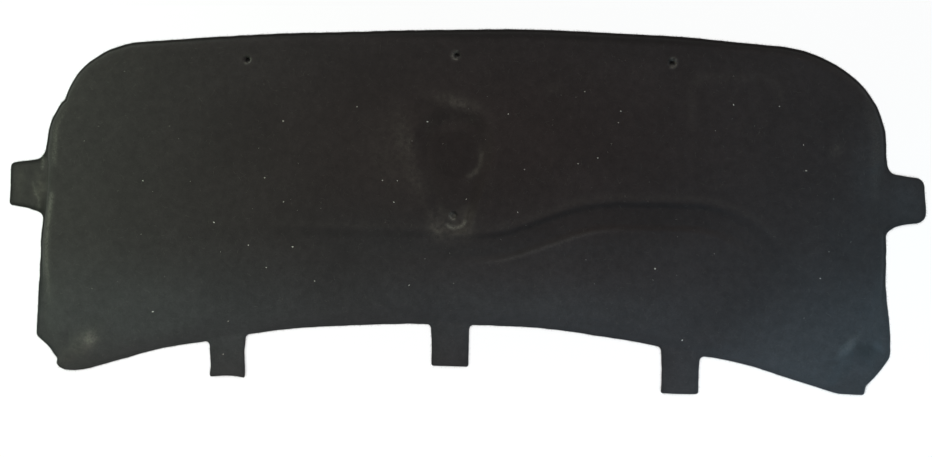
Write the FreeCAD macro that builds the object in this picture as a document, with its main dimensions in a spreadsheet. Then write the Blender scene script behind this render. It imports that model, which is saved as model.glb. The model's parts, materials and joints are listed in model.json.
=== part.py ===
# Hood insulation pad: one piece of moulded felt, thick in its field and pressed thin along its edge.
# It lies on its back with the engine side up, and its lowest face is at z = 0.
# +X runs across the car, +Y towards the hood's front edge and +Z out of the engine side.
# Setbacks are measured back from the front edge, on the centre line.

import FreeCAD
import Part
import Sketcher
import math
import os

# Driving dimensions, in millimetres and degrees
DRIVING = {
    # Panel: the trimmed outline, at the thickness of the pressed rim
    "panel_width": 1136,
    "panel_depth": 397,
    "front_bow": 4830,
    "rear_bow": 1730,
    "shoulder_radius": 178,
    "corner_radius": 121,
    "shoulder_turn": 39,
    "rim_thickness": 4,
    # Rear corners: a flared side, a cut corner and a small toe
    "flare_length": 107,
    "flare_out": 10.5,
    "flare_round": 10,
    "chamfer_run": 29,
    "chamfer_rise": 35,
    "toe_height": 12.5,
    "toe_slant": 3,
    "toe_round": 4,
    "toe_length": 18,
    "heel_radius": 110,
    # Field: the thick middle, which rises from the rim over a rounded shoulder
    "foot_inset": 3,
    "knee_inset": 8,
    "crest_inset": 17,
    "knee_height": 10.5,
    "field_thickness": 14,
    "field_rear_corner": 63,
    # Side tabs, which tuck under the hood's frame
    "side_tab_reach": 52,
    "side_tab_setback": 219,
    "side_tab_root": 70,
    "side_tab_end": 56,
    "side_root_round": 12,
    "right_tab_round": 14,
    "left_tab_round": 5,
    # Rear tabs
    "rear_tab_width": 50,
    "rear_root_round": 6,
    "rear_tab_round": 3,
    "outer_tab_spacing": 613,
    "outer_tab_drop": 83,
    "centre_tab_drop": 56.5,
    # Pear-shaped recess round the middle clip
    "recess_head_setback": 160,
    "recess_tail_setback": 250.5,
    "recess_head_radius": 60,
    "recess_tail_radius": 30,
    "recess_floor_head": 37,
    "recess_floor_tail": 13.5,
    "recess_floor": 4.5,
    # Rear corners pressed as thin as the rim, which clear the hood's hinges
    "apex_in": 40,
    "apex_height": 68.5,
    "side_leg_angle": 28,
    "rear_leg_angle": 50,
    "press_wall_angle": 48,
    # Channel from one rear corner to the other
    "channel_height": 105,
    "channel_rise": 50,
    "channel_width": 40,
    "channel_floor": 22,
    "channel_depth": 6,
    "climb_angle": 20,
    "climb_bend": 220,
    "plateau_length": 83,
    "right_runout_angle": 47,
    "right_runout_bend": 150,
    "left_runout_angle": 31,
    "left_runout_bend": 200,
    # Clip holes with dished collars
    "clip_hole": 7,
    "clip_collar": 13,
    "clip_collar_angle": 90,
    "front_clip_spacing": 574,
    "outer_clip_setback": 43.5,
    "centre_clip_setback": 35.5,
}

# Places that follow from the driving dimensions
DERIVED = {
    "half_panel": "panel_width / 2",
    "flare_x": "half_panel + flare_out",
    "chamfer_foot_x": "flare_x - chamfer_run",
    "toe_x": "chamfer_foot_x - toe_slant",
    "heel_x": "toe_x - toe_length",
    "heel_reach": "rear_bow + heel_radius",
    "toe_drop": "heel_reach - sqrt(heel_reach ^ 2 - heel_x ^ 2)",
    "front_edge": "(panel_depth + max(outer_tab_drop; toe_drop)) / 2",
    "rear_edge": "front_edge - panel_depth",
    "toe_y": "rear_edge - toe_drop",
    "chamfer_foot_y": "toe_y + toe_height",
    "flare_y": "chamfer_foot_y + chamfer_rise",
    "side_end_y": "flare_y + flare_length",
    "side_tab_x": "half_panel + side_tab_reach",
    "side_tab_in_x": "half_panel - side_tab_reach",
    "side_tab_y": "front_edge - side_tab_setback",
    "side_tab_end_top": "side_tab_y + side_tab_end / 2",
    "side_tab_end_bottom": "side_tab_y - side_tab_end / 2",
    "side_tab_in_top": "side_tab_y + side_tab_root - side_tab_end / 2",
    "side_tab_in_bottom": "side_tab_y - side_tab_root + side_tab_end / 2",
    "rear_tab_in_y": "rear_edge + rear_tab_width / 2",
    "outer_tab_near": "(outer_tab_spacing - rear_tab_width) / 2",
    "outer_tab_far": "(outer_tab_spacing + rear_tab_width) / 2",
    "outer_tab_y": "rear_edge - outer_tab_drop",
    "centre_tab_half": "rear_tab_width / 2",
    "centre_tab_y": "rear_edge - centre_tab_drop",
    "recess_head_y": "front_edge - recess_head_setback",
    "recess_tail_y": "front_edge - recess_tail_setback",
    "apex_x": "half_panel - apex_in",
    "apex_y": "toe_y + apex_height",
    "press_out_x": "flare_x + chamfer_run",
    "press_side_y": "apex_y - (press_out_x - apex_x) * tan(side_leg_angle)",
    "press_out_y": "toe_y - chamfer_run",
    "press_rear_x": "apex_x - (apex_y - press_out_y) / tan(rear_leg_angle)",
    "press_depth": "field_thickness - rim_thickness",
    "channel_y": "rear_edge + channel_height",
    "channel_bottom": "field_thickness - channel_depth",
    "channel_top_half": "channel_width / 2",
    "channel_floor_half": "channel_floor / 2",
    "plateau_y": "channel_y + channel_rise",
    "right_bend_x": "apex_x - (plateau_y - apex_y) / tan(right_runout_angle)",
    "right_bend_start": "right_bend_x - right_runout_bend * tan(right_runout_angle / 2)",
    "climb_end": "right_bend_start - plateau_length",
    "climb_tangent": "climb_bend * tan(climb_angle / 2)",
    "climb_start": "climb_end - 2 * climb_tangent - channel_rise / tan(climb_angle)",
    "left_bend_x": "(channel_y - apex_y) / tan(left_runout_angle) - apex_x",
    "left_bend_start": "left_bend_x + left_runout_bend * tan(left_runout_angle / 2)",
    "channel_split": "(climb_start + left_bend_start) / 2",
    "right_end_x": "apex_x + channel_width * cos(right_runout_angle)",
    "right_end_y": "apex_y - channel_width * sin(right_runout_angle)",
    "left_end_x": "-apex_x - channel_width * cos(left_runout_angle)",
    "left_end_y": "apex_y - channel_width * sin(left_runout_angle)",
    "outer_clip_x": "front_clip_spacing / 2",
    "outer_clip_y": "front_edge - outer_clip_setback",
    "centre_clip_y": "front_edge - centre_clip_setback",
    "clip_radius": "clip_hole / 2",
}

# Contour lines of the field: each lies inside the panel's edge by its inset, at its own height
CONTOURS = {"foot": "rim_thickness", "knee": "knee_height", "crest": "field_thickness"}
for contour in CONTOURS:
    DERIVED.update({
        f"{contour}_front": f"front_edge - {contour}_inset",
        f"{contour}_bow": f"front_bow - {contour}_inset",
        f"{contour}_shoulder": f"shoulder_radius - {contour}_inset",
        f"{contour}_corner": f"corner_radius - {contour}_inset",
        f"{contour}_side": f"half_panel - {contour}_inset",
        f"{contour}_rear": f"rear_edge + {contour}_inset",
        f"{contour}_rear_bow": f"rear_bow + {contour}_inset",
        f"{contour}_rear_corner": f"field_rear_corner - {contour}_inset",
        f"{contour}_turn_x": f"{contour}_side - {contour}_corner * (1 - sin(shoulder_turn))",
    })
DERIVED["panel_turn_x"] = "half_panel - corner_radius * (1 - sin(shoulder_turn))"

RIGHT = 1
LEFT = -1
CLOCKWISE = -1
ANTICLOCKWISE = 1
START, END, CENTRE = 1, 2, 3
ORIGIN = (-1, 1)
CENTRE_LINE = -2
NEAR = 0.01
UP = FreeCAD.Vector(0, 0, 1)

doc = FreeCAD.newDocument("hood_insulation_pad")
sheet = doc.addObject("Spreadsheet::Sheet", "sizes")
contents = {alias: str(number) for alias, number in DRIVING.items()}
contents.update({alias: f"={formula}" for alias, formula in DERIVED.items()})
for row, (alias, content) in enumerate(contents.items(), start=1):
    sheet.set(f"A{row}", alias)
    sheet.set(f"B{row}", content)
    sheet.setAlias(f"B{row}", alias)
doc.recompute()

body = doc.addObject("PartDesign::Body", "insulation_pad")
body.Label = "insulation_pad"


def size(alias):
    """The number in the sheet's cell of that name."""
    return float(sheet.get(alias))


def point(x, y):
    """A point in a sketch's plane."""
    return FreeCAD.Vector(x, y, 0)


def origin_plane(role):
    """The body's own plane with that role, such as XY_Plane."""
    return next(item for item in body.Origin.OriginFeatures if item.Role == role)


def new_sketch(name, role="XY_Plane", lift=None):
    """A sketch on one of the body's planes, raised from it by a cell of the sheet."""
    sketch = body.newObject("Sketcher::SketchObject", name)
    sketch.AttachmentSupport = [(origin_plane(role), "")]
    sketch.MapMode = "FlatFace"
    if lift:
        sketch.setExpression("AttachmentOffset.Base.z", f"sizes.{lift}")
    return sketch


def dimension(sketch, kind, references, alias, sign=1):
    """Adds a dimension of that kind and ties it to a cell of the sheet."""
    number = sketch.addConstraint(Sketcher.Constraint(kind, *references, sign * size(alias)))
    sketch.setExpression(f"Constraints[{number}]", f"sizes.{alias}" if sign > 0 else f"-sizes.{alias}")


def locate(sketch, vertex, x=None, y=None, side=RIGHT):
    """Holds a vertex at the distances from the origin that the cells give; side mirrors x."""
    for kind, alias, mirrored in (("DistanceX", x, side), ("DistanceY", y, RIGHT)):
        if alias:
            cell_sign = 1 if size(alias) >= 0 else -1
            ahead = cell_sign * mirrored > 0
            references = (*ORIGIN, *vertex) if ahead else (*vertex, *ORIGIN)
            dimension(sketch, kind, references, alias, cell_sign)


def hold_on_centre_line(sketch, vertex):
    """Keeps a vertex on the sketch's vertical axis."""
    sketch.addConstraint(Sketcher.Constraint("PointOnObject", *vertex, CENTRE_LINE))


class Outline:
    """Lines and arcs drawn end to end in a sketch, each joined to the one before."""

    def __init__(self, sketch, start):
        self.sketch = sketch
        self.pen = start
        self.links = []

    def line_to(self, end, smooth=False):
        """A straight run to a point; returns its first and last vertex."""
        number = self.sketch.addGeometry(Part.LineSegment(self.pen, end), False)
        return self.joined((number, START), (number, END), end, smooth)

    def arc_to(self, end, centre, turn, smooth=False):
        """An arc to a point, turning one way about a centre; returns its first and last vertex."""
        first, last = (self.pen, end) if turn == ANTICLOCKWISE else (end, self.pen)
        from_angle = math.atan2(first.y - centre.y, first.x - centre.x)
        to_angle = math.atan2(last.y - centre.y, last.x - centre.x)
        if to_angle < from_angle:
            to_angle += 2 * math.pi
        circle = Part.Circle(centre, UP, (end - centre).Length)
        number = self.sketch.addGeometry(Part.ArcOfCircle(circle, from_angle, to_angle), False)
        ends = ((number, START), (number, END))
        head, tail = ends if turn == ANTICLOCKWISE else ends[::-1]
        return self.joined(head, tail, end, smooth)

    def joined(self, head, tail, end, smooth):
        """Joins the newest link to the one before and moves the pen to its end."""
        if self.links:
            self.join(self.links[-1][1], head, smooth)
        self.links.append((head, tail))
        self.pen = end
        return head, tail

    def join(self, vertex, other, smooth):
        """Makes two vertices meet, and their lines run on smoothly where asked."""
        kind = "Tangent" if smooth else "Coincident"
        self.sketch.addConstraint(Sketcher.Constraint(kind, *vertex, *other))

    def close(self, smooth=False):
        """Joins the last link to the first."""
        self.join(self.links[-1][1], self.links[0][0], smooth)


def draw_polygon(sketch, corners, side=RIGHT):
    """A closed polygon whose corners are pairs of cells; side mirrors it."""
    places = [point(side * size(x), size(y)) for x, y in corners]
    outline = Outline(sketch, places[0])
    for place in places[1:] + places[:1]:
        outline.line_to(place)
    outline.close()
    for (head, _), (x, y) in zip(outline.links, corners):
        locate(sketch, head, x, y, side)


def draw_front(sketch, cells):
    """The right half of a front edge: a long bow, an easy shoulder, a tighter corner and the side's start.

    Args: cells names the sheet's cells for front, bow, shoulder, corner, side and turn_x.
    Returns: the outline so far, with the pen where the straight side begins.
    """
    bow, shoulder, corner = size(cells["bow"]), size(cells["shoulder"]), size(cells["corner"])
    front, side, turn_x = size(cells["front"]), size(cells["side"]), size(cells["turn_x"])
    sine = (turn_x - side + corner) / corner
    outward = point(sine, math.sqrt(1 - sine ** 2))
    bow_centre = point(0, front - bow)
    shoulder_x = side - corner - (shoulder - corner) * outward.x
    shoulder_lift = math.sqrt((bow - shoulder) ** 2 - shoulder_x ** 2)
    shoulder_centre = point(shoulder_x, bow_centre.y + shoulder_lift)
    corner_centre = shoulder_centre + outward * (shoulder - corner)
    shoulder_start = bow_centre + (shoulder_centre - bow_centre) * (bow / (bow - shoulder))
    outline = Outline(sketch, point(0, front))
    bow_head, _ = outline.arc_to(shoulder_start, bow_centre, CLOCKWISE)
    turn = corner_centre + outward * corner
    shoulder_head, turn_vertex = outline.arc_to(turn, shoulder_centre, CLOCKWISE, smooth=True)
    corner_head, _ = outline.arc_to(point(side, corner_centre.y), corner_centre, CLOCKWISE, smooth=True)
    hold_on_centre_line(sketch, bow_head)
    hold_on_centre_line(sketch, (bow_head[0], CENTRE))
    locate(sketch, bow_head, y=cells["front"])
    locate(sketch, turn_vertex, x=cells["turn_x"])
    for head, cell in ((bow_head, "bow"), (shoulder_head, "shoulder"), (corner_head, "corner")):
        dimension(sketch, "Radius", head[:1], cells[cell])
    return outline


def draw_rear(outline, head_radius_cell, rear_cell, bow_cell, rear_turn_centre):
    """The rear edge: a rounded turn, then a long bow back to the centre line, and the closing line."""
    sketch = outline.sketch
    rear, bow = size(rear_cell), size(bow_cell)
    bow_centre = point(0, rear - bow)
    away = rear_turn_centre - bow_centre
    meeting = bow_centre + away * (bow / away.Length)
    turn_head, _ = outline.arc_to(meeting, rear_turn_centre, CLOCKWISE, smooth=True)
    bow_head, bow_tail = outline.arc_to(point(0, rear), bow_centre, ANTICLOCKWISE, smooth=True)
    outline.line_to(outline_start(outline))
    outline.close()
    dimension(sketch, "Radius", turn_head[:1], head_radius_cell)
    dimension(sketch, "Radius", bow_head[:1], bow_cell)
    hold_on_centre_line(sketch, bow_tail)
    hold_on_centre_line(sketch, (bow_head[0], CENTRE))
    locate(sketch, bow_tail, y=rear_cell)


def outline_start(outline):
    """The point where an outline began."""
    number, vertex = outline.links[0][0]
    return outline.sketch.getPoint(number, vertex)


def draw_panel(sketch):
    """The right half of the trimmed outline, with the flared side, the cut corner and the toe."""
    outline = draw_front(sketch, {
        "front": "front_edge",
        "bow": "front_bow",
        "shoulder": "shoulder_radius",
        "corner": "corner_radius",
        "side": "half_panel",
        "turn_x": "panel_turn_x",
    })
    corners = (
        ("half_panel", "side_end_y"),
        ("flare_x", "flare_y"),
        ("chamfer_foot_x", "chamfer_foot_y"),
        ("toe_x", "toe_y"),
    )
    for number, (x, y) in enumerate(corners):
        _, tail = outline.line_to(point(size(x), size(y)), smooth=number == 0)
        locate(sketch, tail, x, y)
    side_line = outline.links[3][0][0]
    sketch.addConstraint(Sketcher.Constraint("Vertical", side_line))
    toe_line, _ = outline.line_to(point(size("heel_x"), size("toe_y")))
    sketch.addConstraint(Sketcher.Constraint("Horizontal", toe_line[0]))
    heel_centre = point(size("heel_x"), size("toe_y") + size("heel_radius"))
    draw_rear(outline, "heel_radius", "rear_edge", "rear_bow", heel_centre)


def draw_contour(sketch, contour):
    """The right half of one of the field's contour lines."""
    names = ("front", "bow", "shoulder", "corner", "side", "turn_x")
    outline = draw_front(sketch, {name: f"{contour}_{name}" for name in names})
    side, turn = size(f"{contour}_side"), size(f"{contour}_rear_corner")
    rear, bow = size(f"{contour}_rear"), size(f"{contour}_rear_bow")
    turn_lift = math.sqrt((bow + turn) ** 2 - (side - turn) ** 2)
    turn_centre = point(side - turn, rear - bow + turn_lift)
    _, side_tail = outline.line_to(point(side, turn_centre.y), smooth=True)
    sketch.addConstraint(Sketcher.Constraint("Vertical", side_tail[0]))
    locate(sketch, side_tail, x=f"{contour}_side")
    draw_rear(outline, f"{contour}_rear_corner", f"{contour}_rear", f"{contour}_rear_bow", turn_centre)


def draw_pear(sketch, head_cell, tail_cell):
    """A pear shape on the centre line: a round head and a smaller round tail with tangent sides."""
    head, tail = size(head_cell), size(tail_cell)
    head_centre = point(0, size("recess_head_y"))
    tail_centre = point(0, size("recess_tail_y"))
    sine = (head - tail) / (head_centre.y - tail_centre.y)
    right = point(math.sqrt(1 - sine ** 2), sine)
    left = point(-right.x, right.y)
    outline = Outline(sketch, head_centre + left * head)
    head_arc, _ = outline.arc_to(head_centre + right * head, head_centre, CLOCKWISE)
    outline.line_to(tail_centre + right * tail, smooth=True)
    tail_arc, _ = outline.arc_to(tail_centre + left * tail, tail_centre, CLOCKWISE, smooth=True)
    outline.line_to(head_centre + left * head, smooth=True)
    outline.close(smooth=True)
    for arc, radius_cell, y_cell in (
        (head_arc, head_cell, "recess_head_y"),
        (tail_arc, tail_cell, "recess_tail_y"),
    ):
        dimension(sketch, "Radius", arc[:1], radius_cell)
        hold_on_centre_line(sketch, (arc[0], CENTRE))
        locate(sketch, (arc[0], CENTRE), y=y_cell)


def draw_right_channel(sketch):
    """The channel's line from its straight middle, up a climb to a plateau and down to the right corner."""
    climb, climb_bend = math.radians(size("climb_angle")), size("climb_bend")
    runout, runout_bend = math.radians(size("right_runout_angle")), size("right_runout_bend")
    low, high = size("channel_y"), size("plateau_y")
    swing = point(math.sin(climb), -math.cos(climb)) * climb_bend
    foot_centre = point(size("climb_start"), low + climb_bend)
    top_centre = point(size("climb_end"), high - climb_bend)
    runout_centre = point(size("right_bend_start"), high - runout_bend)
    runout_start = runout_centre + point(math.sin(runout), math.cos(runout)) * runout_bend
    outline = Outline(sketch, point(size("channel_split"), low))
    split, climb_start = outline.line_to(point(size("climb_start"), low))
    foot, _ = outline.arc_to(foot_centre + swing, foot_centre, ANTICLOCKWISE, smooth=True)
    outline.line_to(top_centre - swing, smooth=True)
    top, climb_end = outline.arc_to(point(size("climb_end"), high), top_centre, CLOCKWISE, smooth=True)
    _, bend_start = outline.line_to(point(size("right_bend_start"), high), smooth=True)
    bend, _ = outline.arc_to(runout_start, runout_centre, CLOCKWISE, smooth=True)
    _, end = outline.line_to(point(size("right_end_x"), size("right_end_y")), smooth=True)
    locate(sketch, split, "channel_split", "channel_y")
    locate(sketch, climb_start, "climb_start", "channel_y")
    locate(sketch, climb_end, "climb_end", "plateau_y")
    locate(sketch, bend_start, "right_bend_start")
    locate(sketch, end, "right_end_x", "right_end_y")
    dimension(sketch, "Radius", foot[:1], "climb_bend")
    dimension(sketch, "Radius", top[:1], "climb_bend")
    dimension(sketch, "Radius", bend[:1], "right_runout_bend")


def draw_left_channel(sketch):
    """The channel's line from its straight middle down to the left corner."""
    runout, runout_bend = math.radians(size("left_runout_angle")), size("left_runout_bend")
    level = size("channel_y")
    centre = point(size("left_bend_start"), level - runout_bend)
    runout_start = centre + point(-math.sin(runout), math.cos(runout)) * runout_bend
    outline = Outline(sketch, point(size("channel_split"), level))
    split, bend_start = outline.line_to(point(size("left_bend_start"), level))
    bend, _ = outline.arc_to(runout_start, centre, ANTICLOCKWISE, smooth=True)
    _, end = outline.line_to(point(size("left_end_x"), size("left_end_y")), smooth=True)
    locate(sketch, split, "channel_split", "channel_y")
    locate(sketch, bend_start, "left_bend_start", "channel_y")
    locate(sketch, end, "left_end_x", "left_end_y")
    dimension(sketch, "Radius", bend[:1], "left_runout_bend")


def draw_channel_section(sketch):
    """The channel's section across its straight middle: a flat floor between sloped walls.

    The sketch lies across the car, so its horizontal axis is the pad's +Y and its vertical axis +Z.
    """
    level, wall = size("channel_y"), size("channel_top_half")
    floor_half = size("channel_floor_half")
    top, bottom = size("field_thickness"), size("channel_bottom")
    corners = (
        point(level - wall, top),
        point(level - floor_half, bottom),
        point(level + floor_half, bottom),
        point(level + wall, top),
    )
    outline = Outline(sketch, corners[0])
    for corner in corners[1:] + corners[:1]:
        outline.line_to(corner)
    outline.close()
    heads = [head for head, _ in outline.links]
    for head, cell in zip(heads, ("field_thickness", "channel_bottom", "channel_bottom", "field_thickness")):
        locate(sketch, head, y=cell)
    middle = sketch.addGeometry(Part.Point(point(level, top)), True)
    locate(sketch, (middle, START), "channel_y", "field_thickness")
    dimension(sketch, "DistanceX", (*heads[0], middle, START), "channel_top_half")
    dimension(sketch, "DistanceX", (middle, START, *heads[3]), "channel_top_half")
    dimension(sketch, "DistanceX", (*heads[1], middle, START), "channel_floor_half")
    dimension(sketch, "DistanceX", (middle, START, *heads[2]), "channel_floor_half")


def draw_clip_circles(sketch, places):
    """One circle of the clip holes' size at each place, given as x cell, y cell and side."""
    for x, y, side in places:
        centre = point(side * size(x) if x else 0, size(y))
        number = sketch.addGeometry(Part.Circle(centre, UP, size("clip_radius")), False)
        dimension(sketch, "Radius", (number,), "clip_radius")
        locate(sketch, (number, CENTRE), x, y, side)
        if not x:
            hold_on_centre_line(sketch, (number, CENTRE))


def new_feature(kind, name, sketch=None, **tied):
    """A feature of the body, with its sketch and with properties tied to cells of the sheet."""
    feature = body.newObject(f"PartDesign::{kind}", name)
    if sketch:
        feature.Profile = sketch
    for name_of_size, alias in tied.items():
        feature.setExpression(name_of_size, f"sizes.{alias}")
    return feature


def mirror(name, originals):
    """Repeats features on the other side of the centre line."""
    mirrored = new_feature("Mirrored", name)
    mirrored.Originals = originals
    mirrored.MirrorPlane = (origin_plane("YZ_Plane"), [""])
    body.Tip = mirrored
    return mirrored


def upright_edges(shape, places):
    """Names of the shape's upright edges that stand at those places."""
    names = []
    for number, edge in enumerate(shape.Edges, start=1):
        ends = [vertex.Point for vertex in edge.Vertexes]
        upright = len(ends) == 2 and math.hypot(ends[0].x - ends[1].x, ends[0].y - ends[1].y) < NEAR
        if upright and any(math.hypot(ends[0].x - x, ends[0].y - y) < NEAR for x, y in places):
            names.append(f"Edge{number}")
    return names


def round_corners(name, radius_cell, places):
    """Rounds the upright edges at those places."""
    doc.recompute()
    base = body.Tip
    edges = upright_edges(base.Shape, places)
    if len(edges) != len(places):
        raise RuntimeError(f"{name}: {len(edges)} edges found for {len(places)} places")
    rounded = new_feature("Fillet", name, Radius=radius_cell)
    rounded.Base = (base, edges)
    return rounded


def rear_edge_at(x):
    """How far back the rear edge lies at a distance from the centre line."""
    bow = size("rear_bow")
    return size("rear_edge") - bow + math.sqrt(bow ** 2 - x ** 2)


def on_both_sides(places):
    """The same places on the right and on the left."""
    return [(side * x, y) for x, y in places for side in (RIGHT, LEFT)]


def build_panel():
    """The rim-thick panel and the thick field on it, drawn as right halves and mirrored."""
    outline = new_sketch("panel_outline")
    draw_panel(outline)
    panel = new_feature("Pad", "panel", outline, Length="rim_thickness")
    contours = []
    for contour, height in CONTOURS.items():
        sketch = new_sketch(f"field_{contour}", lift=height)
        draw_contour(sketch, contour)
        contours.append(sketch)
    field = new_feature("AdditiveLoft", "field", contours[0])
    field.Sections = contours[1:]
    field.Ruled = True
    mirror("both_halves", [panel, field])


def build_tabs():
    """Two side tabs and three rear tabs, as thin as the rim, with rounded roots and ends."""
    side_corners = (
        ("side_tab_in_x", "side_tab_in_top"),
        ("side_tab_x", "side_tab_end_top"),
        ("side_tab_x", "side_tab_end_bottom"),
        ("side_tab_in_x", "side_tab_in_bottom"),
    )
    sketch = new_sketch("side_tab_outlines")
    for side in (RIGHT, LEFT):
        draw_polygon(sketch, side_corners, side)
    new_feature("Pad", "side_tabs", sketch, Length="rim_thickness")

    sketch = new_sketch("rear_tab_outlines")
    outer_corners = (
        ("outer_tab_near", "rear_tab_in_y"),
        ("outer_tab_far", "rear_tab_in_y"),
        ("outer_tab_far", "outer_tab_y"),
        ("outer_tab_near", "outer_tab_y"),
    )
    for side in (RIGHT, LEFT):
        draw_polygon(sketch, outer_corners, side)
    draw_centre_tab(sketch)
    new_feature("Pad", "rear_tabs", sketch, Length="rim_thickness")
    round_tabs()


def draw_centre_tab(sketch):
    """The middle rear tab, evenly about the centre line."""
    half, top, end = size("centre_tab_half"), size("rear_tab_in_y"), size("centre_tab_y")
    outline = Outline(sketch, point(-half, top))
    for place in (point(half, top), point(half, end), point(-half, end), point(-half, top)):
        outline.line_to(place)
    outline.close()
    cells = ("rear_tab_in_y", "rear_tab_in_y", "centre_tab_y", "centre_tab_y")
    sides = (LEFT, RIGHT, RIGHT, LEFT)
    for (head, _), y, side in zip(outline.links, cells, sides):
        locate(sketch, head, "centre_tab_half", y, side)


def round_tabs():
    """Rounds the tabs' roots and ends, and the corners behind the flared sides."""
    half_root = size("side_tab_root") / 2
    side_roots = [(size("half_panel"), size("side_tab_y") + half_root * up) for up in (1, -1)]
    side_ends = [(size("side_tab_x"), size(f"side_tab_end_{name}")) for name in ("top", "bottom")]
    tab_sides = [size(name) for name in ("outer_tab_near", "outer_tab_far", "centre_tab_half")]
    tab_ends = [size(name) for name in ("outer_tab_y", "outer_tab_y", "centre_tab_y")]
    round_corners("side_tab_roots", "side_root_round", on_both_sides(side_roots))
    round_corners("rear_tab_roots", "rear_root_round", on_both_sides((x, rear_edge_at(x)) for x in tab_sides))
    round_corners("right_tab_corners", "right_tab_round", side_ends)
    round_corners("left_tab_corners", "left_tab_round", [(-x, y) for x, y in side_ends])
    round_corners("rear_tab_corners", "rear_tab_round", on_both_sides(zip(tab_sides, tab_ends)))
    round_corners("flare_corners", "flare_round", on_both_sides([(size("flare_x"), size("flare_y"))]))
    round_corners("toe_corners", "toe_round", on_both_sides([(size("toe_x"), size("toe_y"))]))


def build_pressings():
    """What the mould presses into the field: thin rear corners, the channel and the pear-shaped recess."""
    sketch = new_sketch("corner_outline", lift="field_thickness")
    draw_polygon(sketch, (
        ("apex_x", "apex_y"),
        ("press_out_x", "press_side_y"),
        ("press_out_x", "press_out_y"),
        ("press_rear_x", "press_out_y"),
    ))
    corner = new_feature(
        "Pocket", "thin_corner", sketch, Length="press_depth", TaperAngle="press_wall_angle"
    )
    mirror("thin_corners", [corner])

    section = new_sketch("channel_section", "YZ_Plane", "channel_split")
    draw_channel_section(section)
    for name, draw in (("right_channel", draw_right_channel), ("left_channel", draw_left_channel)):
        path = new_sketch(f"{name}_line", lift="field_thickness")
        draw(path)
        channel = new_feature("SubtractivePipe", name, section)
        channel.Spine = path
    rim = new_sketch("recess_rim", lift="field_thickness")
    draw_pear(rim, "recess_head_radius", "recess_tail_radius")
    floor = new_sketch("recess_floor_line", lift="recess_floor")
    draw_pear(floor, "recess_floor_head", "recess_floor_tail")
    recess = new_feature("SubtractiveLoft", "recess", rim)
    recess.Sections = [floor]
    recess.Ruled = True


def build_clip_holes():
    """Three clip holes along the front and one in the recess, each with a dished collar."""
    front = (
        ("outer_clip_x", "outer_clip_y", RIGHT),
        ("outer_clip_x", "outer_clip_y", LEFT),
        (None, "centre_clip_y", RIGHT),
    )
    middle = ((None, "recess_tail_y", RIGHT),)
    for name, places, height in (
        ("front_clip_holes", front, "field_thickness"),
        ("recess_clip_hole", middle, "recess_floor"),
    ):
        sketch = new_sketch(f"{name}_centres", lift=height)
        draw_clip_circles(sketch, places)
        doc.recompute()
        hole = new_feature("Hole", name, sketch)
        hole.ThreadType = "None"
        hole.DepthType = "ThroughAll"
        hole.HoleCutType = "Countersink"
        hole.setExpression("Diameter", "sizes.clip_hole")
        hole.setExpression("HoleCutDiameter", "sizes.clip_collar")
        hole.setExpression("HoleCutCountersinkAngle", "sizes.clip_collar_angle")
        doc.recompute()


def check_document():
    """Stops if a feature failed, or if one added or cut nothing."""
    for item in doc.Objects:
        if "Invalid" in item.State or "Error" in item.State:
            raise RuntimeError(f"{item.Label} failed: {item.State}")
    features = [item for item in body.Group if item.isDerivedFrom("PartDesign::Feature")]
    for before, after in zip(features, features[1:]):
        change = after.Shape.Volume - before.Shape.Volume
        if abs(change) < 1:
            raise RuntimeError(f"{after.Label} changes nothing")
        print(f"{after.Label}: {change:+.0f} mm3")
    shape = body.Shape
    if shape.isNull() or not shape.isValid() or len(shape.Solids) != 1:
        raise RuntimeError("the pad isn't one valid solid")


def main():
    """Builds the pad feature by feature and writes it."""
    build_panel()
    build_tabs()
    build_pressings()
    build_clip_holes()
    doc.recompute()
    check_document()
    box = body.Shape.optimalBoundingBox()
    print(f"{body.Label}: {box.XLength:.1f} x {box.YLength:.1f} x {box.ZLength:.1f} mm")
    print(f"volume {body.Shape.Volume:.0f} mm3, y from {box.YMin:.1f} to {box.YMax:.1f}")
    os.makedirs("parts", exist_ok=True)
    body.Shape.exportStep(f"parts/{body.Label}.step")


main()
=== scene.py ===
"""Hood insulation pad, dressed: one panel of moulded black felt on a pale studio floor.

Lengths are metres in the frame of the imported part: +X runs across the car, +Y towards the hood's front edge
and +Z out of the engine side, and the pad's back lies at z = 0. Marks, folds, pushes, steps and profiles
are written in millimetres of the same frame.
"""

import json
import logging
import math
from dataclasses import dataclass
from enum import Enum
from typing import ClassVar, Sequence, Union

import bpy
import numpy as np
from mathutils import Matrix, Vector
from mathutils.geometry import delaunay_2d_cdt


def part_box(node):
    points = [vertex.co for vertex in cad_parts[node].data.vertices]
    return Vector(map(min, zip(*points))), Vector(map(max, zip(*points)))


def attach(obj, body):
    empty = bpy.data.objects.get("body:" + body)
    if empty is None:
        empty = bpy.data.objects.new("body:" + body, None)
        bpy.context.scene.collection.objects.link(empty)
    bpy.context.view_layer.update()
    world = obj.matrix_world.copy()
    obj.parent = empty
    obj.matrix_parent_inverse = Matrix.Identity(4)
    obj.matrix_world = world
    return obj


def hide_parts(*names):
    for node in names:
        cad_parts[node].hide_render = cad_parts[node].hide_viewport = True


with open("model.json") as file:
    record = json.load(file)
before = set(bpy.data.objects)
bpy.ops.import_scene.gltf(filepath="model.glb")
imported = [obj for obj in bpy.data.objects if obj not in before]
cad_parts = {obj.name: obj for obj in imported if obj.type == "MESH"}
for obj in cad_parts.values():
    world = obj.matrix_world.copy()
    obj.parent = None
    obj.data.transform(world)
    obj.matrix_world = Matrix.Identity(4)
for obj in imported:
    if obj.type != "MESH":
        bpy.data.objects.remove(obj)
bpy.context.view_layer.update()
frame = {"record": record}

Array = np.ndarray
Place = tuple[float, float]
Spot = tuple[float, float, float]
Colour = tuple[float, float, float]
Socket = bpy.types.NodeSocket
Node = bpy.types.Node
Material = bpy.types.Material
Piece = bpy.types.Object
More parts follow.
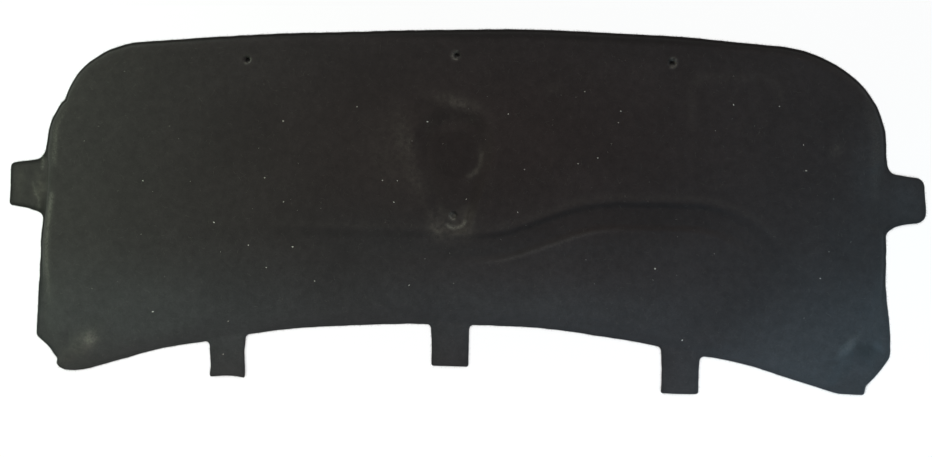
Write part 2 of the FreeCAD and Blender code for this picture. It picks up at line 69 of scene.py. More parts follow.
Range = tuple[float, float]
Input = Union[Socket, float, Sequence[float]]

MM = 0.001
FULL_TURN = 2 * math.pi
NODE = "insulation_pad"
BODY = "root"
log = logging.getLogger("pad")


class Side(Enum):
    """The two sides of the pad, as the sign of x."""

    RIGHT = 1
    LEFT = -1


class Mark(Enum):
    """What use and moulding leave on the felt, and the shade, highlights and cool light painted on it, each
    kept as a number from 0 to 1 at every vertex.
    """

    # Pressing, and painted shade inside the front strip and in the channel
    PRESSED = "pressed"
    # Dust, and painted highlights on walls and crests
    DUST = "dust"
    # Wear, and painted highlights on crests, hole collars and folds
    WORN = "worn"
    # Painted shade in the channel, beside a corner's apex and below the left tab's root
    SOOT = "soot"
    # Painted cool light over the rear band, the right side and the rear corners
    HAZE = "haze"
    # A brown tint over the middle
    TAN = "tan"


class Operation(Enum):
    """Ways to join numbers in a material."""

    TIMES = "MULTIPLY"
    PLUS = "ADD"
    GREATER = "MAXIMUM"
    LESSER = "MINIMUM"


class Blend(Enum):
    """Ways to mix two colours in a material."""

    OVER = "MIX"
    TIMES = "MULTIPLY"


def ease(share: Array) -> Array:
    """Smooth step: 0 up to share 0, 1 from share 1 on, and 3t^2 - 2t^3 between."""
    held = np.clip(share, 0.0, 1.0)
    return held * held * (3.0 - 2.0 * held)


def bell(distance: Array, width: float) -> Array:
    """Bell curve: 1 at distance 0, falling as exp of minus the square of distance over width."""
    return np.exp(-((distance / width) ** 2))


def circle(count: int) -> Array:
    """Unit vectors at even steps round a circle, anticlockwise from +X."""
    angle = np.arange(count) / count * FULL_TURN
    return np.column_stack([np.cos(angle), np.sin(angle)])


def on_right(places: Array) -> Array:
    """Places mirrored to the right half: x without its sign, and y as it is."""
    return np.column_stack([np.abs(places[:, 0]), places[:, 1]])


@dataclass(frozen=True)
class Step:
    """An eased step along an axis, from 0 at its start to 1 at its end; both lengths in millimetres."""

    start: float
    length: float

    def at(self, along: Array) -> Array:
        """How far up the step places along the axis are."""
        return ease((along - self.start * MM) / (self.length * MM))


@dataclass(frozen=True)
class Profile:
    """A number that runs straight from station to station along an axis; each is millimetres and number."""

    stations: tuple[Place, ...]

    def at(self, along: Array) -> Array:
        """The number at places along the axis, held past both ends."""
        where, number = zip(*self.stations)
        return np.interp(along, np.multiply(where, MM), number)


@dataclass(frozen=True)
class Ripple:
    """Soft unevenness: a sum of sine waves of random length, heading and start."""

    lengths: Range
    height: float
    seed: int
    count: int = 14

    def at(self, places: Array) -> Array:
        """The sum of the waves, scaled so that the height is what it is on average.

        Args:
            places: An array of x and y.

        Returns:
            A number for each place, about zero on average.
        """
        draw = np.random.default_rng(self.seed)
        length = draw.uniform(*self.lengths, self.count)
        heading = draw.uniform(0, math.pi, self.count)
        start = draw.uniform(0, FULL_TURN, self.count)
        pace = FULL_TURN / length * np.stack([np.cos(heading), np.sin(heading)])
        return self.height * np.sin(places @ pace + start).sum(axis=1) / math.sqrt(self.count / 2)


@dataclass(frozen=True)
class Run:
    """A straight line from one place to another."""

    start: Place
    end: Place

    def points(self, step: float) -> Array:
        """Evenly spaced points from the start up to, and without, the end.

        Args:
            step: The widest spacing.

        Returns:
            An array of x and y.
        """
        way = np.subtract(self.end, self.start)
        count = max(1, math.ceil(math.hypot(*way) / step))
        return np.asarray(self.start) + np.arange(count)[:, None] / count * way

    def signed(self, places: Array) -> Array:
        """Distance from the perpendicular's foot, held to the line's ends, positive on the line's left.

        Args:
            places: An array of x and y.

        Returns:
            Signed distances.
        """
        way = np.subtract(self.end, self.start)
        away = places - np.asarray(self.start)
        share = np.clip(away @ way / (way @ way), 0.0, 1.0)
        gap = np.hypot(*(away - share[:, None] * way).T)
        return np.copysign(gap, way[0] * away[:, 1] - way[1] * away[:, 0])


@dataclass(frozen=True)
class Bend:
    """An arc about a centre, from a start angle through a sweep in radians; a left turn sweeps positive."""

    centre: Place
    radius: float
    start: float
    sweep: float

    least_points: ClassVar[int] = 5

    def points(self, step: float) -> Array:
        """Evenly spaced points from the start up to, and without, the end."""
        count = max(self.least_points, math.ceil(self.radius * abs(self.sweep) / step))
        return self.at(np.arange(count) / count * abs(self.sweep))

    def at(self, turned: Array) -> Array:
        """Places on the arc after turning by those angles."""
        angle = self.start + math.copysign(1.0, self.sweep) * turned
        return np.asarray(self.centre) + self.radius * np.column_stack([np.cos(angle), np.sin(angle)])

    def signed(self, places: Array) -> Array:
        """Distance from the arc's place at the same angle, held to its ends, positive on the arc's left.

        Args:
            places: An array of x and y.

        Returns:
            Signed distances.
        """
        hand = math.copysign(1.0, self.sweep)
        away = places - np.asarray(self.centre)
        middle = abs(self.sweep) / 2
        turned = hand * (np.arctan2(away[:, 1], away[:, 0]) - self.start) - middle
        turned = np.mod(turned + math.pi, FULL_TURN) - math.pi + middle
        gap = np.hypot(*(places - self.at(np.clip(turned, 0.0, abs(self.sweep)))).T)
        return np.copysign(gap, hand * (self.radius - np.hypot(*away.T)))


@dataclass(frozen=True)
class Path:
    """Lines and arcs drawn end to end."""

    pieces: tuple[Run | Bend, ...]

    def points(self, step: float) -> Array:
        """Points along every piece, up to and without the last end."""
        return np.vstack([piece.points(step) for piece in self.pieces])

    def signed(self, places: Array) -> Array:
        """Distance from the nearest piece, positive on the left of the way along.

        Args:
            places: An array of x and y.

        Returns:
            Signed distances.
        """
        nearest = self.pieces[0].signed(places)
        for piece in self.pieces[1:]:
            other = piece.signed(places)
            nearest = np.where(np.abs(other) < np.abs(nearest), other, nearest)
        return nearest


Line = Union[Run, Bend, Path]
Pieces = list[Run | Bend]


def through(*places: Place) -> Path:
    """Straight lines through places in millimetres, one after another."""
    spots = [(x * MM, y * MM) for x, y in places]
    return Path(tuple(Run(start, end) for start, end in zip(spots, spots[1:])))


@dataclass(frozen=True)
class Corner:
    """A corner of an outline and the radius that rounds it."""

    x: float
    y: float
    radius: float = 0.0


def rounded(corners: Sequence[Corner]) -> Pieces:
    """Straight lines through corners in order, each inner corner rounded by an arc tangent to both lines.

    Args:
        corners: The first place, the corners between and the last place.

    Returns:
        The lines and arcs from the first place to the last.
    """
    pieces: Pieces = []
    spots = [np.array([corner.x, corner.y]) for corner in corners]
    pen = spots[0]
    for before, spot, after, corner in zip(spots, spots[1:], spots[2:], corners[1:]):
        way_in = (spot - before) / np.linalg.norm(spot - before)
        way_out = (after - spot) / np.linalg.norm(after - spot)
        turn = math.atan2(way_in[0] * way_out[1] - way_in[1] * way_out[0], way_in @ way_out)
        head = spot - way_in * corner.radius * math.tan(abs(turn) / 2)
        pieces.append(Run(tuple(pen), tuple(head)))
        pen = spot
        if corner.radius:
            hand = math.copysign(corner.radius, turn)
            centre = head + hand * np.array([-way_in[1], way_in[0]])
            start = math.atan2(head[1] - centre[1], head[0] - centre[0])
            pieces.append(Bend(tuple(centre), corner.radius, start, turn))
            pen = spot + way_out * corner.radius * math.tan(abs(turn) / 2)
    pieces.append(Run(tuple(pen), tuple(spots[-1])))
    return pieces


def closed_loop(right: Array, left: Array) -> Array:
    """Joins two halves, both drawn on the right and without their ends, into one clockwise loop."""
    rear_middle = np.array([[0.0, right[-1, 1]]])
    return np.vstack([right, rear_middle, (left * (-1, 1))[:0:-1]])


def inward(loop: Array) -> Array:
    """Unit vectors into a clockwise loop: a quarter turn right of the chord between neighbours."""
    x, y = (np.roll(loop, -1, axis=0) - np.roll(loop, 1, axis=0)).T
    return np.column_stack([y, -x]) / np.hypot(x, y)[:, None]


@dataclass(frozen=True)
class PadOutline:
    """The pad's trimmed outline and its field's edge, drawn on the right and mirrored to the left.

    Half an outline runs from the front's middle round a side to the rear's, with the pad on its right.
    """

    front_edge: float
    tab_tip: float
    rear_reach: float
    clip_holes: tuple[Place, ...]
    clip_radius: float
    panel_depth: float = 397 * MM
    front_bow: float = 4830 * MM
    rear_bow: float = 1730 * MM
    shoulder_radius: float = 178 * MM
    corner_radius: float = 121 * MM
    shoulder_turn: float = math.radians(39)
    side_tab_reach: float = 52 * MM
    side_tab_setback: float = 219 * MM
    side_tab_root: float = 70 * MM
    side_tab_end: float = 56 * MM
    side_root_round: float = 15 * MM
    right_tab_round: float = 14 * MM
    left_tab_round: float = 5 * MM
    flare_out: float = 10.5 * MM
    flare_length: float = 107 * MM
    flare_round: float = 10 * MM
    flare_ease: float = 90 * MM
    chamfer_run: float = 29 * MM
    chamfer_rise: float = 35 * MM
    toe_height: float = 12.5 * MM
    toe_slant: float = 3 * MM
    toe_round: float = 4 * MM
    toe_length: float = 18 * MM
    heel_radius: float = 110 * MM
    field_rear_corner: float = 63 * MM
    rear_tab_width: float = 50 * MM
    rear_root_round: float = 6 * MM
    root_lead_share: float = 1.5
    rear_tab_round: float = 3 * MM
    outer_tab_spacing: float = 613 * MM
    centre_tab_drop: float = 56.5 * MM
    nick_round: float = 1.5 * MM

    @classmethod
    def from_frame(cls) -> "PadOutline":
        """Takes the reach of the pad from its solid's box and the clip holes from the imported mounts.

        Returns:
            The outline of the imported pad.
        """
        low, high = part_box(NODE)
        mounts = {mount["name"]: mount for mount in frame["record"]["mounts"]}
        outer = mounts["outer_front_clip_holes"]
        middle = mounts["centre_line_clip_holes"]
        half_span = outer["dims"]["spacing_x_mm"] * MM / 2
        half_rise = middle["dims"]["spacing_y_mm"] * MM / 2
        holes = (
            (-half_span, outer["pos_m"][1]),
            (half_span, outer["pos_m"][1]),
            (0.0, middle["pos_m"][1] + half_rise),
            (0.0, middle["pos_m"][1] - half_rise),
        )
        return cls(high.y, high.x, low.y, holes, outer["dims"]["hole_r_mm"] * MM)

    @property
    def half_panel(self) -> float:
        """Half the panel's width, where the side tabs start."""
        return self.tab_tip - self.side_tab_reach

    @property
    def rear_edge(self) -> float:
        """The rear edge on the centre line."""
        return self.front_edge - self.panel_depth

    @property
    def rear_bow_centre(self) -> Place:
        """The centre of the rear edge's bow, behind the pad."""
        return 0.0, self.rear_edge - self.rear_bow

    @property
    def side_tab_y(self) -> float:
        """The middle line of the side tabs."""
        return self.front_edge - self.side_tab_setback

    @property
    def root_lead(self) -> float:
        """How far past a rear tab's side its root's lines start."""
        return self.root_lead_share * self.rear_root_round

    @property
    def toe_x(self) -> float:
        """How far out the toe's corner stands."""
        return self.half_panel + self.flare_out - self.chamfer_run - self.toe_slant

    @property
    def heel_x(self) -> float:
        """Where the toe ends and the heel's arc starts."""
        return self.toe_x - self.toe_length

    @property
    def toe_y(self) -> float:
        """How far back the toe reaches: where its heel's arc, tangent to the rear bow, runs level."""
        reach = self.rear_bow + self.heel_radius
        return self.rear_edge - reach + math.sqrt(reach ** 2 - self.heel_x ** 2)

    def rear_at(self, x: float) -> float:
        """How far back the rear bow lies at a distance from the centre line."""
        return self.rear_bow_centre[1] + math.sqrt(self.rear_bow ** 2 - x ** 2)

    def front_pieces(self) -> Pieces:
        """The front edge's bow, its shoulder and the tighter corner, each tangent to the next.

        Returns:
            Three arcs that end where the straight side starts.
        """
        lean = np.array([math.sin(self.shoulder_turn), math.cos(self.shoulder_turn)])
        spread = self.shoulder_radius - self.corner_radius
        bow_y = self.front_edge - self.front_bow
        shoulder_x = self.half_panel - self.corner_radius - spread * lean[0]
        shoulder_y = bow_y + math.sqrt((self.front_bow - self.shoulder_radius) ** 2 - shoulder_x ** 2)
        corner = np.array([shoulder_x, shoulder_y]) + spread * lean
        upright = math.pi / 2
        bow_end = math.atan2(shoulder_y - bow_y, shoulder_x)
        turn = upright - self.shoulder_turn
        return [
            Bend((0.0, bow_y), self.front_bow, upright, bow_end - upright),
            Bend((shoulder_x, shoulder_y), self.shoulder_radius, bow_end, turn - bow_end),
            Bend(tuple(corner), self.corner_radius, turn, -turn),
        ]

    def side_start(self) -> float:
        """Where along y the straight side starts, at the end of the corner's arc."""
        return self.front_pieces()[-1].centre[1]

    def rear_pieces(self, centre: Place, radius: float, start: float, inner_x: float) -> Pieces:
        """A rounded turn into the rear bow and the bow's run towards the centre line.

        Args:
            centre: The turn's centre.
            radius: The turn's radius.
            start: The angle at which the turn starts.
            inner_x: How near to the centre line the bow runs.

        Returns:
            Two arcs, tangent to each other.
        """
        middle = self.rear_bow_centre
        towards = math.atan2(middle[1] - centre[1], middle[0] - centre[0])
        bow_start = towards + math.pi
        bow_end = math.acos(inner_x / self.rear_bow)
        return [
            Bend(centre, radius, start, towards - start),
            Bend(middle, self.rear_bow, bow_start, bow_end - bow_start),
        ]

    def tab_chain(self, outer_x: float, inner_x: float, tip_y: float) -> Pieces:
        """A rear tab with rounded roots and corners, from its outer root to its inner root.

        Args:
            outer_x: The tab's outer side.
            inner_x: The tab's inner side, or 0 for half a tab that ends on the centre line.
            tip_y: The tab's end.

        Returns:
            The tab's lines and arcs.
        """
        corners = [
            Corner(outer_x + self.root_lead, self.rear_at(outer_x + self.root_lead)),
            Corner(outer_x, self.rear_at(outer_x), self.rear_root_round),
            Corner(outer_x, tip_y, self.rear_tab_round),
        ]
        if inner_x:
            corners += [
                Corner(inner_x, tip_y, self.rear_tab_round),
                Corner(inner_x, self.rear_at(inner_x), self.rear_root_round),
                Corner(inner_x - self.root_lead, self.rear_at(inner_x - self.root_lead)),
            ]
        else:
            corners.append(Corner(0.0, tip_y))
        return rounded(corners)

    def side_chain(self, tab_round: float) -> Pieces:
        """The straight side, its tab, the flare, the cut corner and the toe.

        Args:
            tab_round: The radius of the tab's corners.

        Returns:
            The lines and arcs from the front corner to the heel.
        """
        side_x, tab_y = self.half_panel, self.side_tab_y
        root, end = self.side_tab_root / 2, self.side_tab_end / 2
        flare_x = side_x + self.flare_out
        foot_y = self.toe_y + self.toe_height
        flare_y = foot_y + self.chamfer_rise
        return rounded([
            Corner(side_x, self.side_start()),
            Corner(side_x, tab_y + root, self.side_root_round),
            Corner(self.tab_tip, tab_y + end, tab_round),
            Corner(self.tab_tip, tab_y - end, tab_round),
            Corner(side_x, tab_y - root, self.side_root_round),
            Corner(side_x, flare_y + self.flare_length, self.flare_ease),
            Corner(flare_x, flare_y, self.flare_round),
            Corner(flare_x - self.chamfer_run, foot_y, self.nick_round),
            Corner(self.toe_x, self.toe_y, self.toe_round),
            Corner(self.heel_x, self.toe_y),
        ])

    def half(self, side: Side) -> Path:
        """Half of the trimmed outline, drawn on the right.

        Args:
            side: Which side's tab corners it has.

        Returns:
            The path from the front's middle to the rear's.
        """
        tab_round = self.right_tab_round if side is Side.RIGHT else self.left_tab_round
        outer = (self.outer_tab_spacing + self.rear_tab_width) / 2
        inner = outer - self.rear_tab_width
        half_tab = self.rear_tab_width / 2
        heel = (self.heel_x, self.toe_y + self.heel_radius)
        between_start = math.acos((inner - self.root_lead) / self.rear_bow)
        between_end = math.acos((half_tab + self.root_lead) / self.rear_bow)
        return Path((
            *self.front_pieces(),
            *self.side_chain(tab_round),
            *self.rear_pieces(heel, self.heel_radius, -math.pi / 2, outer + self.root_lead),
            *self.tab_chain(outer, inner, self.rear_reach),
            Bend(self.rear_bow_centre, self.rear_bow, between_start, between_end - between_start),
            *self.tab_chain(half_tab, 0.0, self.rear_edge - self.centre_tab_drop),
        ))

    def field_half(self) -> Path:
        """Half of the line that the thick field rises from: the panel without tabs, flare and toe.

        Returns:
            The path from the front's middle to the rear's.
        """
        turn = self.field_rear_corner
        turn_x = self.half_panel - turn
        lift = math.sqrt((self.rear_bow + turn) ** 2 - turn_x ** 2)
        turn_y = self.rear_bow_centre[1] + lift
        straight = Run((self.half_panel, self.side_start()), (self.half_panel, turn_y))
        return Path((*self.front_pieces(), straight, *self.rear_pieces((turn_x, turn_y), turn, 0.0, 0.0)))

    def inside(self, places: Array) -> Array:
        """Distance inside the trimmed outline, negative outside it."""
        right, left = (self.half(side).signed(on_right(places)) for side in Side)
        return -np.where(places[:, 0] >= 0, right, left)

    def inside_field(self, places: Array) -> Array:
        """Distance inside the field's edge, negative on the tabs and outer corners."""
        return -self.field_half().signed(on_right(places))

    def from_holes(self, places: Array) -> Array:
        """Distances from the clip holes' centres, one row for each hole."""
        return np.stack([np.hypot(*(places - hole).T) for hole in self.clip_holes])

    def loop(self, step: float) -> Array:
        """Points round the trimmed outline, clockwise from the middle of the front edge."""
        return closed_loop(self.half(Side.RIGHT).points(step), self.half(Side.LEFT).points(step))

    def field_loop(self, step: float) -> Array:
        """Points round the field's edge, clockwise from the middle of the front edge."""
        half = self.field_half().points(step)
        return closed_loop(half, half)


@dataclass(frozen=True)
class Smudge:
    """A soft oval patch of a mark, full in the middle and fading as a bell curve along both of its axes.

    Its place and half axes are in millimetres, and its turn is in degrees.
    """

    mark: Mark
    x: float
    y: float
    along: float
    across: float
    turn: float
    strength: float

    def cover(self, places: Array) -> Array:
        """How much of the mark each place has.

        Args:
            places: An array of x and y.

        Returns:
            One number for each place.
        """
        angle = math.radians(self.turn)
        away = places - (self.x * MM, self.y * MM)
        along = away @ (math.cos(angle), math.sin(angle)) / (self.along * MM)
        across = away @ (-math.sin(angle), math.cos(angle)) / (self.across * MM)
        return self.strength * bell(np.hypot(along, across), 1.0)


@dataclass(frozen=True)
class Streak:
    """A line of a mark, fading as a bell curve to both sides of it over a width in millimetres."""

    mark: Mark
    line: Line
    width: float
    strength: float

    def cover(self, places: Array) -> Array:
        """How much of the mark each place has."""
        return self.strength * bell(self.line.signed(places), self.width * MM)


@dataclass(frozen=True)
class Fold:
    """A soft ridge along a line, or a crease where its height is below zero; both sizes in millimetres."""

    line: Line
    width: float
    height: float

    def rise(self, places: Array) -> Array:
        """How far each place is raised, fading as a bell curve to both sides of the line."""
        return self.height * MM * bell(self.line.signed(places), self.width * MM)


@dataclass(frozen=True)
class Curl:
    """A place in millimetres where the felt curls up off the ground, by a height over a reach."""

    x: float
    y: float
    reach: float
    height: float

    def rise(self, places: Array) -> Array:
        """How far each place is lifted, fading as a bell curve."""
        away = np.hypot(*(places - (self.x * MM, self.y * MM)).T)
        return self.height * MM * bell(away, self.reach * MM)


@dataclass(frozen=True)
class Push:
    """A place in millimetres where handling has pushed the felt sideways, over a radius round it."""

    x: float
    y: float
    by_x: float
    by_y: float
    radius: float

    def shift(self, places: Array) -> Array:
        """How far each place is pushed, as an array of x and y, fading as a bell curve."""
        reach = bell(np.hypot(*(places - (self.x * MM, self.y * MM)).T), self.radius * MM)
        return reach[:, None] * (self.by_x * MM, self.by_y * MM)


@dataclass(frozen=True)
class PadHandling:
    """What use has done to this pad's shape: pushes sideways, an uneven cut, curled edges and folds."""

    outline: PadOutline
    trembles: tuple[Ripple, Ripple] = (
        Ripple((9 * MM, 40 * MM), 0.13 * MM, 31),
        Ripple((9 * MM, 40 * MM), 0.13 * MM, 32),
    )
    pushes: ClassVar[tuple[Push, ...]] = (
        # Left front corner, pushed in, with a nick; its shoulder stands out
        Push(-551, 146, 7.5, -4.3, 35), Push(-550, 144, 2.0, -1.5, 5), Push(-474, 212, -1.2, 2.1, 45),
        # Front edge, cut fuller on the right half
        Push(-150, 237, 0.0, -1.2, 80), Push(90, 241, 0.0, 2.2, 70), Push(190, 237, 0.0, 1.5, 60),
        Push(295, 233, 0.0, 2.1, 60),
        # Left side and tab, stretched, with a wide upper root
        Push(-568, -65, -7.0, 0.0, 60), Push(-576, -135, -2.0, 0.0, 40), Push(-576, 66, -3.5, 3.0, 15),
        Push(-604, 50, -0.4, 2.4, 26), Push(-580, -16, -1.8, -2.4, 9),
        # Left chamfer and toe, trimmed short
        Push(-557, -206, 3.8, 3.2, 20), Push(-546, -236, 2.6, 2.6, 7), Push(-551, -219, 1.8, 0.0, 4),
        Push(-554, -227, -1.8, -0.5, 4),
        # Right side, which stands out between the tab and the flare, and the tab's worn end
        Push(570, -60, 2.8, 0.0, 48), Push(577, -145, 2.6, 0.0, 32), Push(577, -190, -1.6, 1.0, 9),
        Push(577, -17, 1.6, -1.8, 10), Push(571, 66, 1.4, 1.2, 10), Push(618, 36, -2.6, 0.0, 20),
        Push(549, -226, -1.6, 0.6, 8),
        # Rear edge between the tabs, and the tabs' uneven ends
        Push(-400, -202, 0.0, 2.8, 50), Push(-230, -172, 0.0, 1.9, 65), Push(130, -160, 0.0, 2.5, 65),
        Push(240, -172, 0.0, 1.2, 45), Push(390, -200, 0.0, 2.6, 48), Push(-306, -240, 0.0, 4.2, 30),
        Push(306, -240, 0.0, -1.0, 30), Push(-331, -226, 2.0, 0.0, 16), Push(-282, -205, -1.6, 0.0, 20),
        Push(-27, -165, -1.6, -0.8, 10), Push(282, -218, 1.8, 0.0, 26), Push(337, -194, 1.2, -1.0, 9),
    )
    # How far the left, right, front and recess holes are pulled along x and y, and over which radius
    hole_pulls: ClassVar[tuple[tuple[float, float, float], ...]] = (
        (2.0, 0.0, 18), (0.8, -1.8, 18), (2.0, -0.5, 18), (1.2, 0.0, 12),
    )
    curls: ClassVar[tuple[Curl, ...]] = (
        Curl(620, 20, 45, 2.2), Curl(306, -240, 45, 1.6), Curl(0, -214, 40, 1.2),
        Curl(-306, -240, 45, 2.0), Curl(548, -230, 45, 2.0), Curl(-548, -230, 45, 2.4),
    )
    tab_crease: ClassVar[Path] = through((-587, 24), (-583, 9), (-577, 3), (-575, -9))
    folds: ClassVar[tuple[Fold, ...]] = (
        # Left rear corner, then the right one
        Fold(through((-497, -188), (-543, -223)), 9, 1.6),
        Fold(through((531, -161), (510, -186)), 8, 0.9),
        Fold(through((552, -166), (568, -178)), 9, 0.7),
        # Left tab
        Fold(tab_crease, 2.2, -0.8),
        Fold(through((-569, 4), (-569, -30)), 5, -1.0),
    )

    def shift(self, places: Array) -> Array:
        """How far use has pushed the shape sideways: all pushes and pulls, and a tremble along each axis.

        Args:
            places: An array of x and y.

        Returns:
            The shift of each place, as x and y.
        """
        holes = np.divide(self.outline.clip_holes, MM)
        pulls = [Push(*hole, *pull) for hole, pull in zip(holes, self.hole_pulls)]
        tremble = np.column_stack([ripple.at(places) for ripple in self.trembles])
        return sum(push.shift(places) for push in (*self.pushes, *pulls)) + tremble

    def lift(self, places: Array) -> Array:
        """How far the thin edges curl off the ground, at the top and at the back alike."""
        return sum(curl.rise(places) for curl in self.curls)

    def folded(self, places: Array) -> Array:
        """How far the folds raise the engine side."""
        return sum(fold.rise(places) for fold in self.folds)


@dataclass(frozen=True)
class Survey:
    """Distances at every place that the relief and the marks are worked out from."""

    places: Array
    edge: Array
    field: Array
    channel: Array
    pear: Array
    corner: Array
    holes: Array


@dataclass(frozen=True)
class PadRelief:
    """Heights of the moulded felt, as functions of x and y."""

    outline: PadOutline
    handling: PadHandling
    thickness: float
    rim_thickness: float = 4 * MM
    foot_inset: float = 3 * MM
    crest_inset: float = 17 * MM
    gentle_crest_inset: float = 46 * MM
    crest_power: float = 2.4
    gentle_fade: float = 22 * MM
    gentle_rear: Step = Step(60, 30)
    gentle_rear_least: float = 0.45
    gentle_rear_half: float = 470 * MM
    flare_back: Step = Step(85, 50)
    flare_side: Step = Step(420, 60)
    lip_width: float = 3.2 * MM
    lip_share: float = 0.62
    head_y: float = 80 * MM
    tail_y: float = -10.5 * MM
    head_radius: float = 60 * MM
    tail_radius: float = 30 * MM
    head_wall: float = 26 * MM
    tail_wall: float = 16.5 * MM
    recess_floor: float = 4.5 * MM
    stamp_place: Place = (3 * MM, 71 * MM)
    stamp_radius: float = 34 * MM
    stamp_wall: float = 4 * MM
    stamp_depth: float = 0.8 * MM
    apex_in: float = 40 * MM
    apex_height: float = 68.5 * MM
    side_leg: float = math.radians(28)
    rear_leg: float = math.radians(50)
    side_press_wall: float = 30 * MM
    rear_press_wall: float = 24 * MM
    left_corner_share: float = 0.6
    channel_setback: float = 105 * MM
    channel_rise: float = 50 * MM
    climb: float = math.radians(20)
    climb_bend: float = 220 * MM
    plateau: float = 83 * MM
    right_runout: float = math.radians(47)
    right_bend: float = 150 * MM
    left_runout: float = math.radians(31)
    left_bend: float = 200 * MM
    channel_shift: Profile = Profile(((-30, -1.5), (80, 4.5)))
    channel_depth: float = 6 * MM
    channel_fullness: Profile = Profile((
        (-500, 0.1), (-360, 0.3), (-220, 0.5), (20, 0.65), (100, 1.0), (330, 1.0), (440, 0.5), (520, 0.2),
    ))
    channel_softness: Profile = Profile(((-340, 1.0), (-100, 0.45), (50, 0.0), (340, 0.0), (450, 1.0)))
    channel_floor_half: float = 10 * MM
    channel_top_half: float = 20 * MM
    soft_floor_half: float = 2 * MM
    soft_top_half: float = 27 * MM
    collar_radius: float = 6.5 * MM
    collar_depth: float = 4 * MM
    field_waves: Ripple = Ripple((45 * MM, 260 * MM), 0.22 * MM, 7)
    blend_power: float = 5.0

    @property
    def apex(self) -> Place:
        """The inner point of a thin rear corner, on the right."""
        return self.outline.half_panel - self.apex_in, self.outline.toe_y + self.apex_height

    def channel_line(self) -> Path:
        """The channel's line from the left rear corner to the right one.

        It leaves the left corner, runs level past the recess's tail, climbs, runs along a plateau and down
        into the right corner, with a round bend at each turn.

        Returns:
            A path that runs from left to right, so its left hand is towards the front.
        """
        apex_x, apex_y = self.apex
        low = self.outline.rear_edge + self.channel_setback
        high = low + self.channel_rise
        past = 2 * self.channel_top_half
        right_turn = apex_x - (high - apex_y) / math.tan(self.right_runout)
        plateau_end = right_turn - self.right_bend * math.tan(self.right_runout / 2)
        climb_top = plateau_end - self.plateau - self.climb_bend * math.tan(self.climb / 2)
        climb_foot = climb_top - self.channel_rise / math.tan(self.climb)
        left_turn = (low - apex_y) / math.tan(self.left_runout) - apex_x
        left, right = self.left_runout, self.right_runout
        left_end = (-apex_x - past * math.cos(left), apex_y - past * math.sin(left))
        right_end = (apex_x + past * math.cos(right), apex_y - past * math.sin(right))
        return Path(tuple(rounded([
            Corner(*left_end),
            Corner(left_turn, low, self.left_bend),
            Corner(climb_foot, low, self.climb_bend),
            Corner(climb_top, high, self.climb_bend),
            Corner(right_turn, high, self.right_bend),
            Corner(*right_end),
        ])))

    def pear_distance(self, places: Array) -> Array:
        """Distance outside the pear-shaped recess's rim, negative in it.

        The rim is a large circle and a small one with tangent sides: beside the sides the distance is
        measured square to them, and past either end it is measured from that end's centre.

        Args:
            places: An array of x and y.

        Returns:
            Signed distances.
        """
        span = self.head_y - self.tail_y
        sine = (self.head_radius - self.tail_radius) / span
        cosine = math.sqrt(1 - sine ** 2)
        out, up = np.abs(places[:, 0]), places[:, 1] - self.tail_y
        along = up * cosine + out * sine
        beside = out * cosine - up * sine - self.tail_radius
        at_tail = np.hypot(out, up) - self.tail_radius
        at_head = np.hypot(out, up - span) - self.head_radius
        return np.where(along < 0, at_tail, np.where(along > span * cosine, at_head, beside))

    def corner_depth(self, places: Array) -> Array:
        """Share of the way down a thin rear corner's walls: the lesser of the shares from its two legs.

        Args:
            places: An array of x and y.

        Returns:
            Shares, 1 at the walls' foot.
        """
        out = np.abs(places[:, 0]) - self.apex[0]
        back = self.apex[1] - places[:, 1]
        from_side = back * math.cos(self.side_leg) - out * math.sin(self.side_leg)
        from_rear = out * math.sin(self.rear_leg) + back * math.cos(self.rear_leg)
        return np.minimum(from_side / self.side_press_wall, from_rear / self.rear_press_wall)

    def survey(self, places: Array) -> Survey:
        """Measures every place against the pad's forms."""
        return Survey(
            places=places,
            edge=self.outline.inside(places),
            field=self.outline.inside_field(places),
            channel=self.channel_line().signed(places) + MM * self.channel_shift.at(places[:, 0]),
            pear=self.pear_distance(places),
            corner=self.corner_depth(places),
            holes=self.outline.from_holes(places),
        )

    def gentle(self, places: Array) -> Array:
        """Where the field runs down without a step: along the rear, at the right tab and at the flares.

        Args:
            places: An array of x and y.

        Returns:
            Shares, 1 where the slope is longest.
        """
        x, y = places.T
        outline, out = self.outline, np.abs(x)
        tab_middles = np.array([-1, 0, 1]) * outline.outer_tab_spacing / 2
        beside = np.abs(x[:, None] - tab_middles).min(axis=1) - outline.rear_tab_width / 2
        at_tab = ease(1.0 - beside / self.gentle_fade)
        behind = self.gentle_rear.at(-y) * (out < self.gentle_rear_half)
        rear = behind * (self.gentle_rear_least + (1.0 - self.gentle_rear_least) * at_tab)
        past_tab = np.abs(y - outline.side_tab_y) - outline.side_tab_end / 2
        side = ease(1.0 - past_tab / self.gentle_fade) * (x > self.apex[0])
        flare = self.flare_back.at(-y) * self.flare_side.at(out)
        return np.maximum.reduce([rear, side, flare])

    def rise(self, survey: Survey) -> Array:
        """Share of the way from rim to field: 1 - (1 - t)^power, steep at the foot and level at the crest.

        Args:
            survey: The places.

        Returns:
            One share for each place.
        """
        crest = self.crest_inset + self.gentle(survey.places) * (self.gentle_crest_inset - self.crest_inset)
        share = np.clip((survey.field - self.foot_inset) / (crest - self.foot_inset), 0.0, 1.0)
        return 1.0 - (1.0 - share) ** self.crest_power

    def channel_share(self, survey: Survey) -> Array:
        """Depth of the channel as a share: 1 on its floor and eased to 0 at the top of its walls.

        The walls are steep in the middle and wear out into a soft dip towards both ends.

        Args:
            survey: The places.

        Returns:
            One share for each place.
        """
        soft = self.channel_softness.at(survey.places[:, 0])
        floor = self.channel_floor_half + soft * (self.soft_floor_half - self.channel_floor_half)
        top = self.channel_top_half + soft * (self.soft_top_half - self.channel_top_half)
        return 1.0 - ease((np.abs(survey.channel) - floor) / (top - floor))

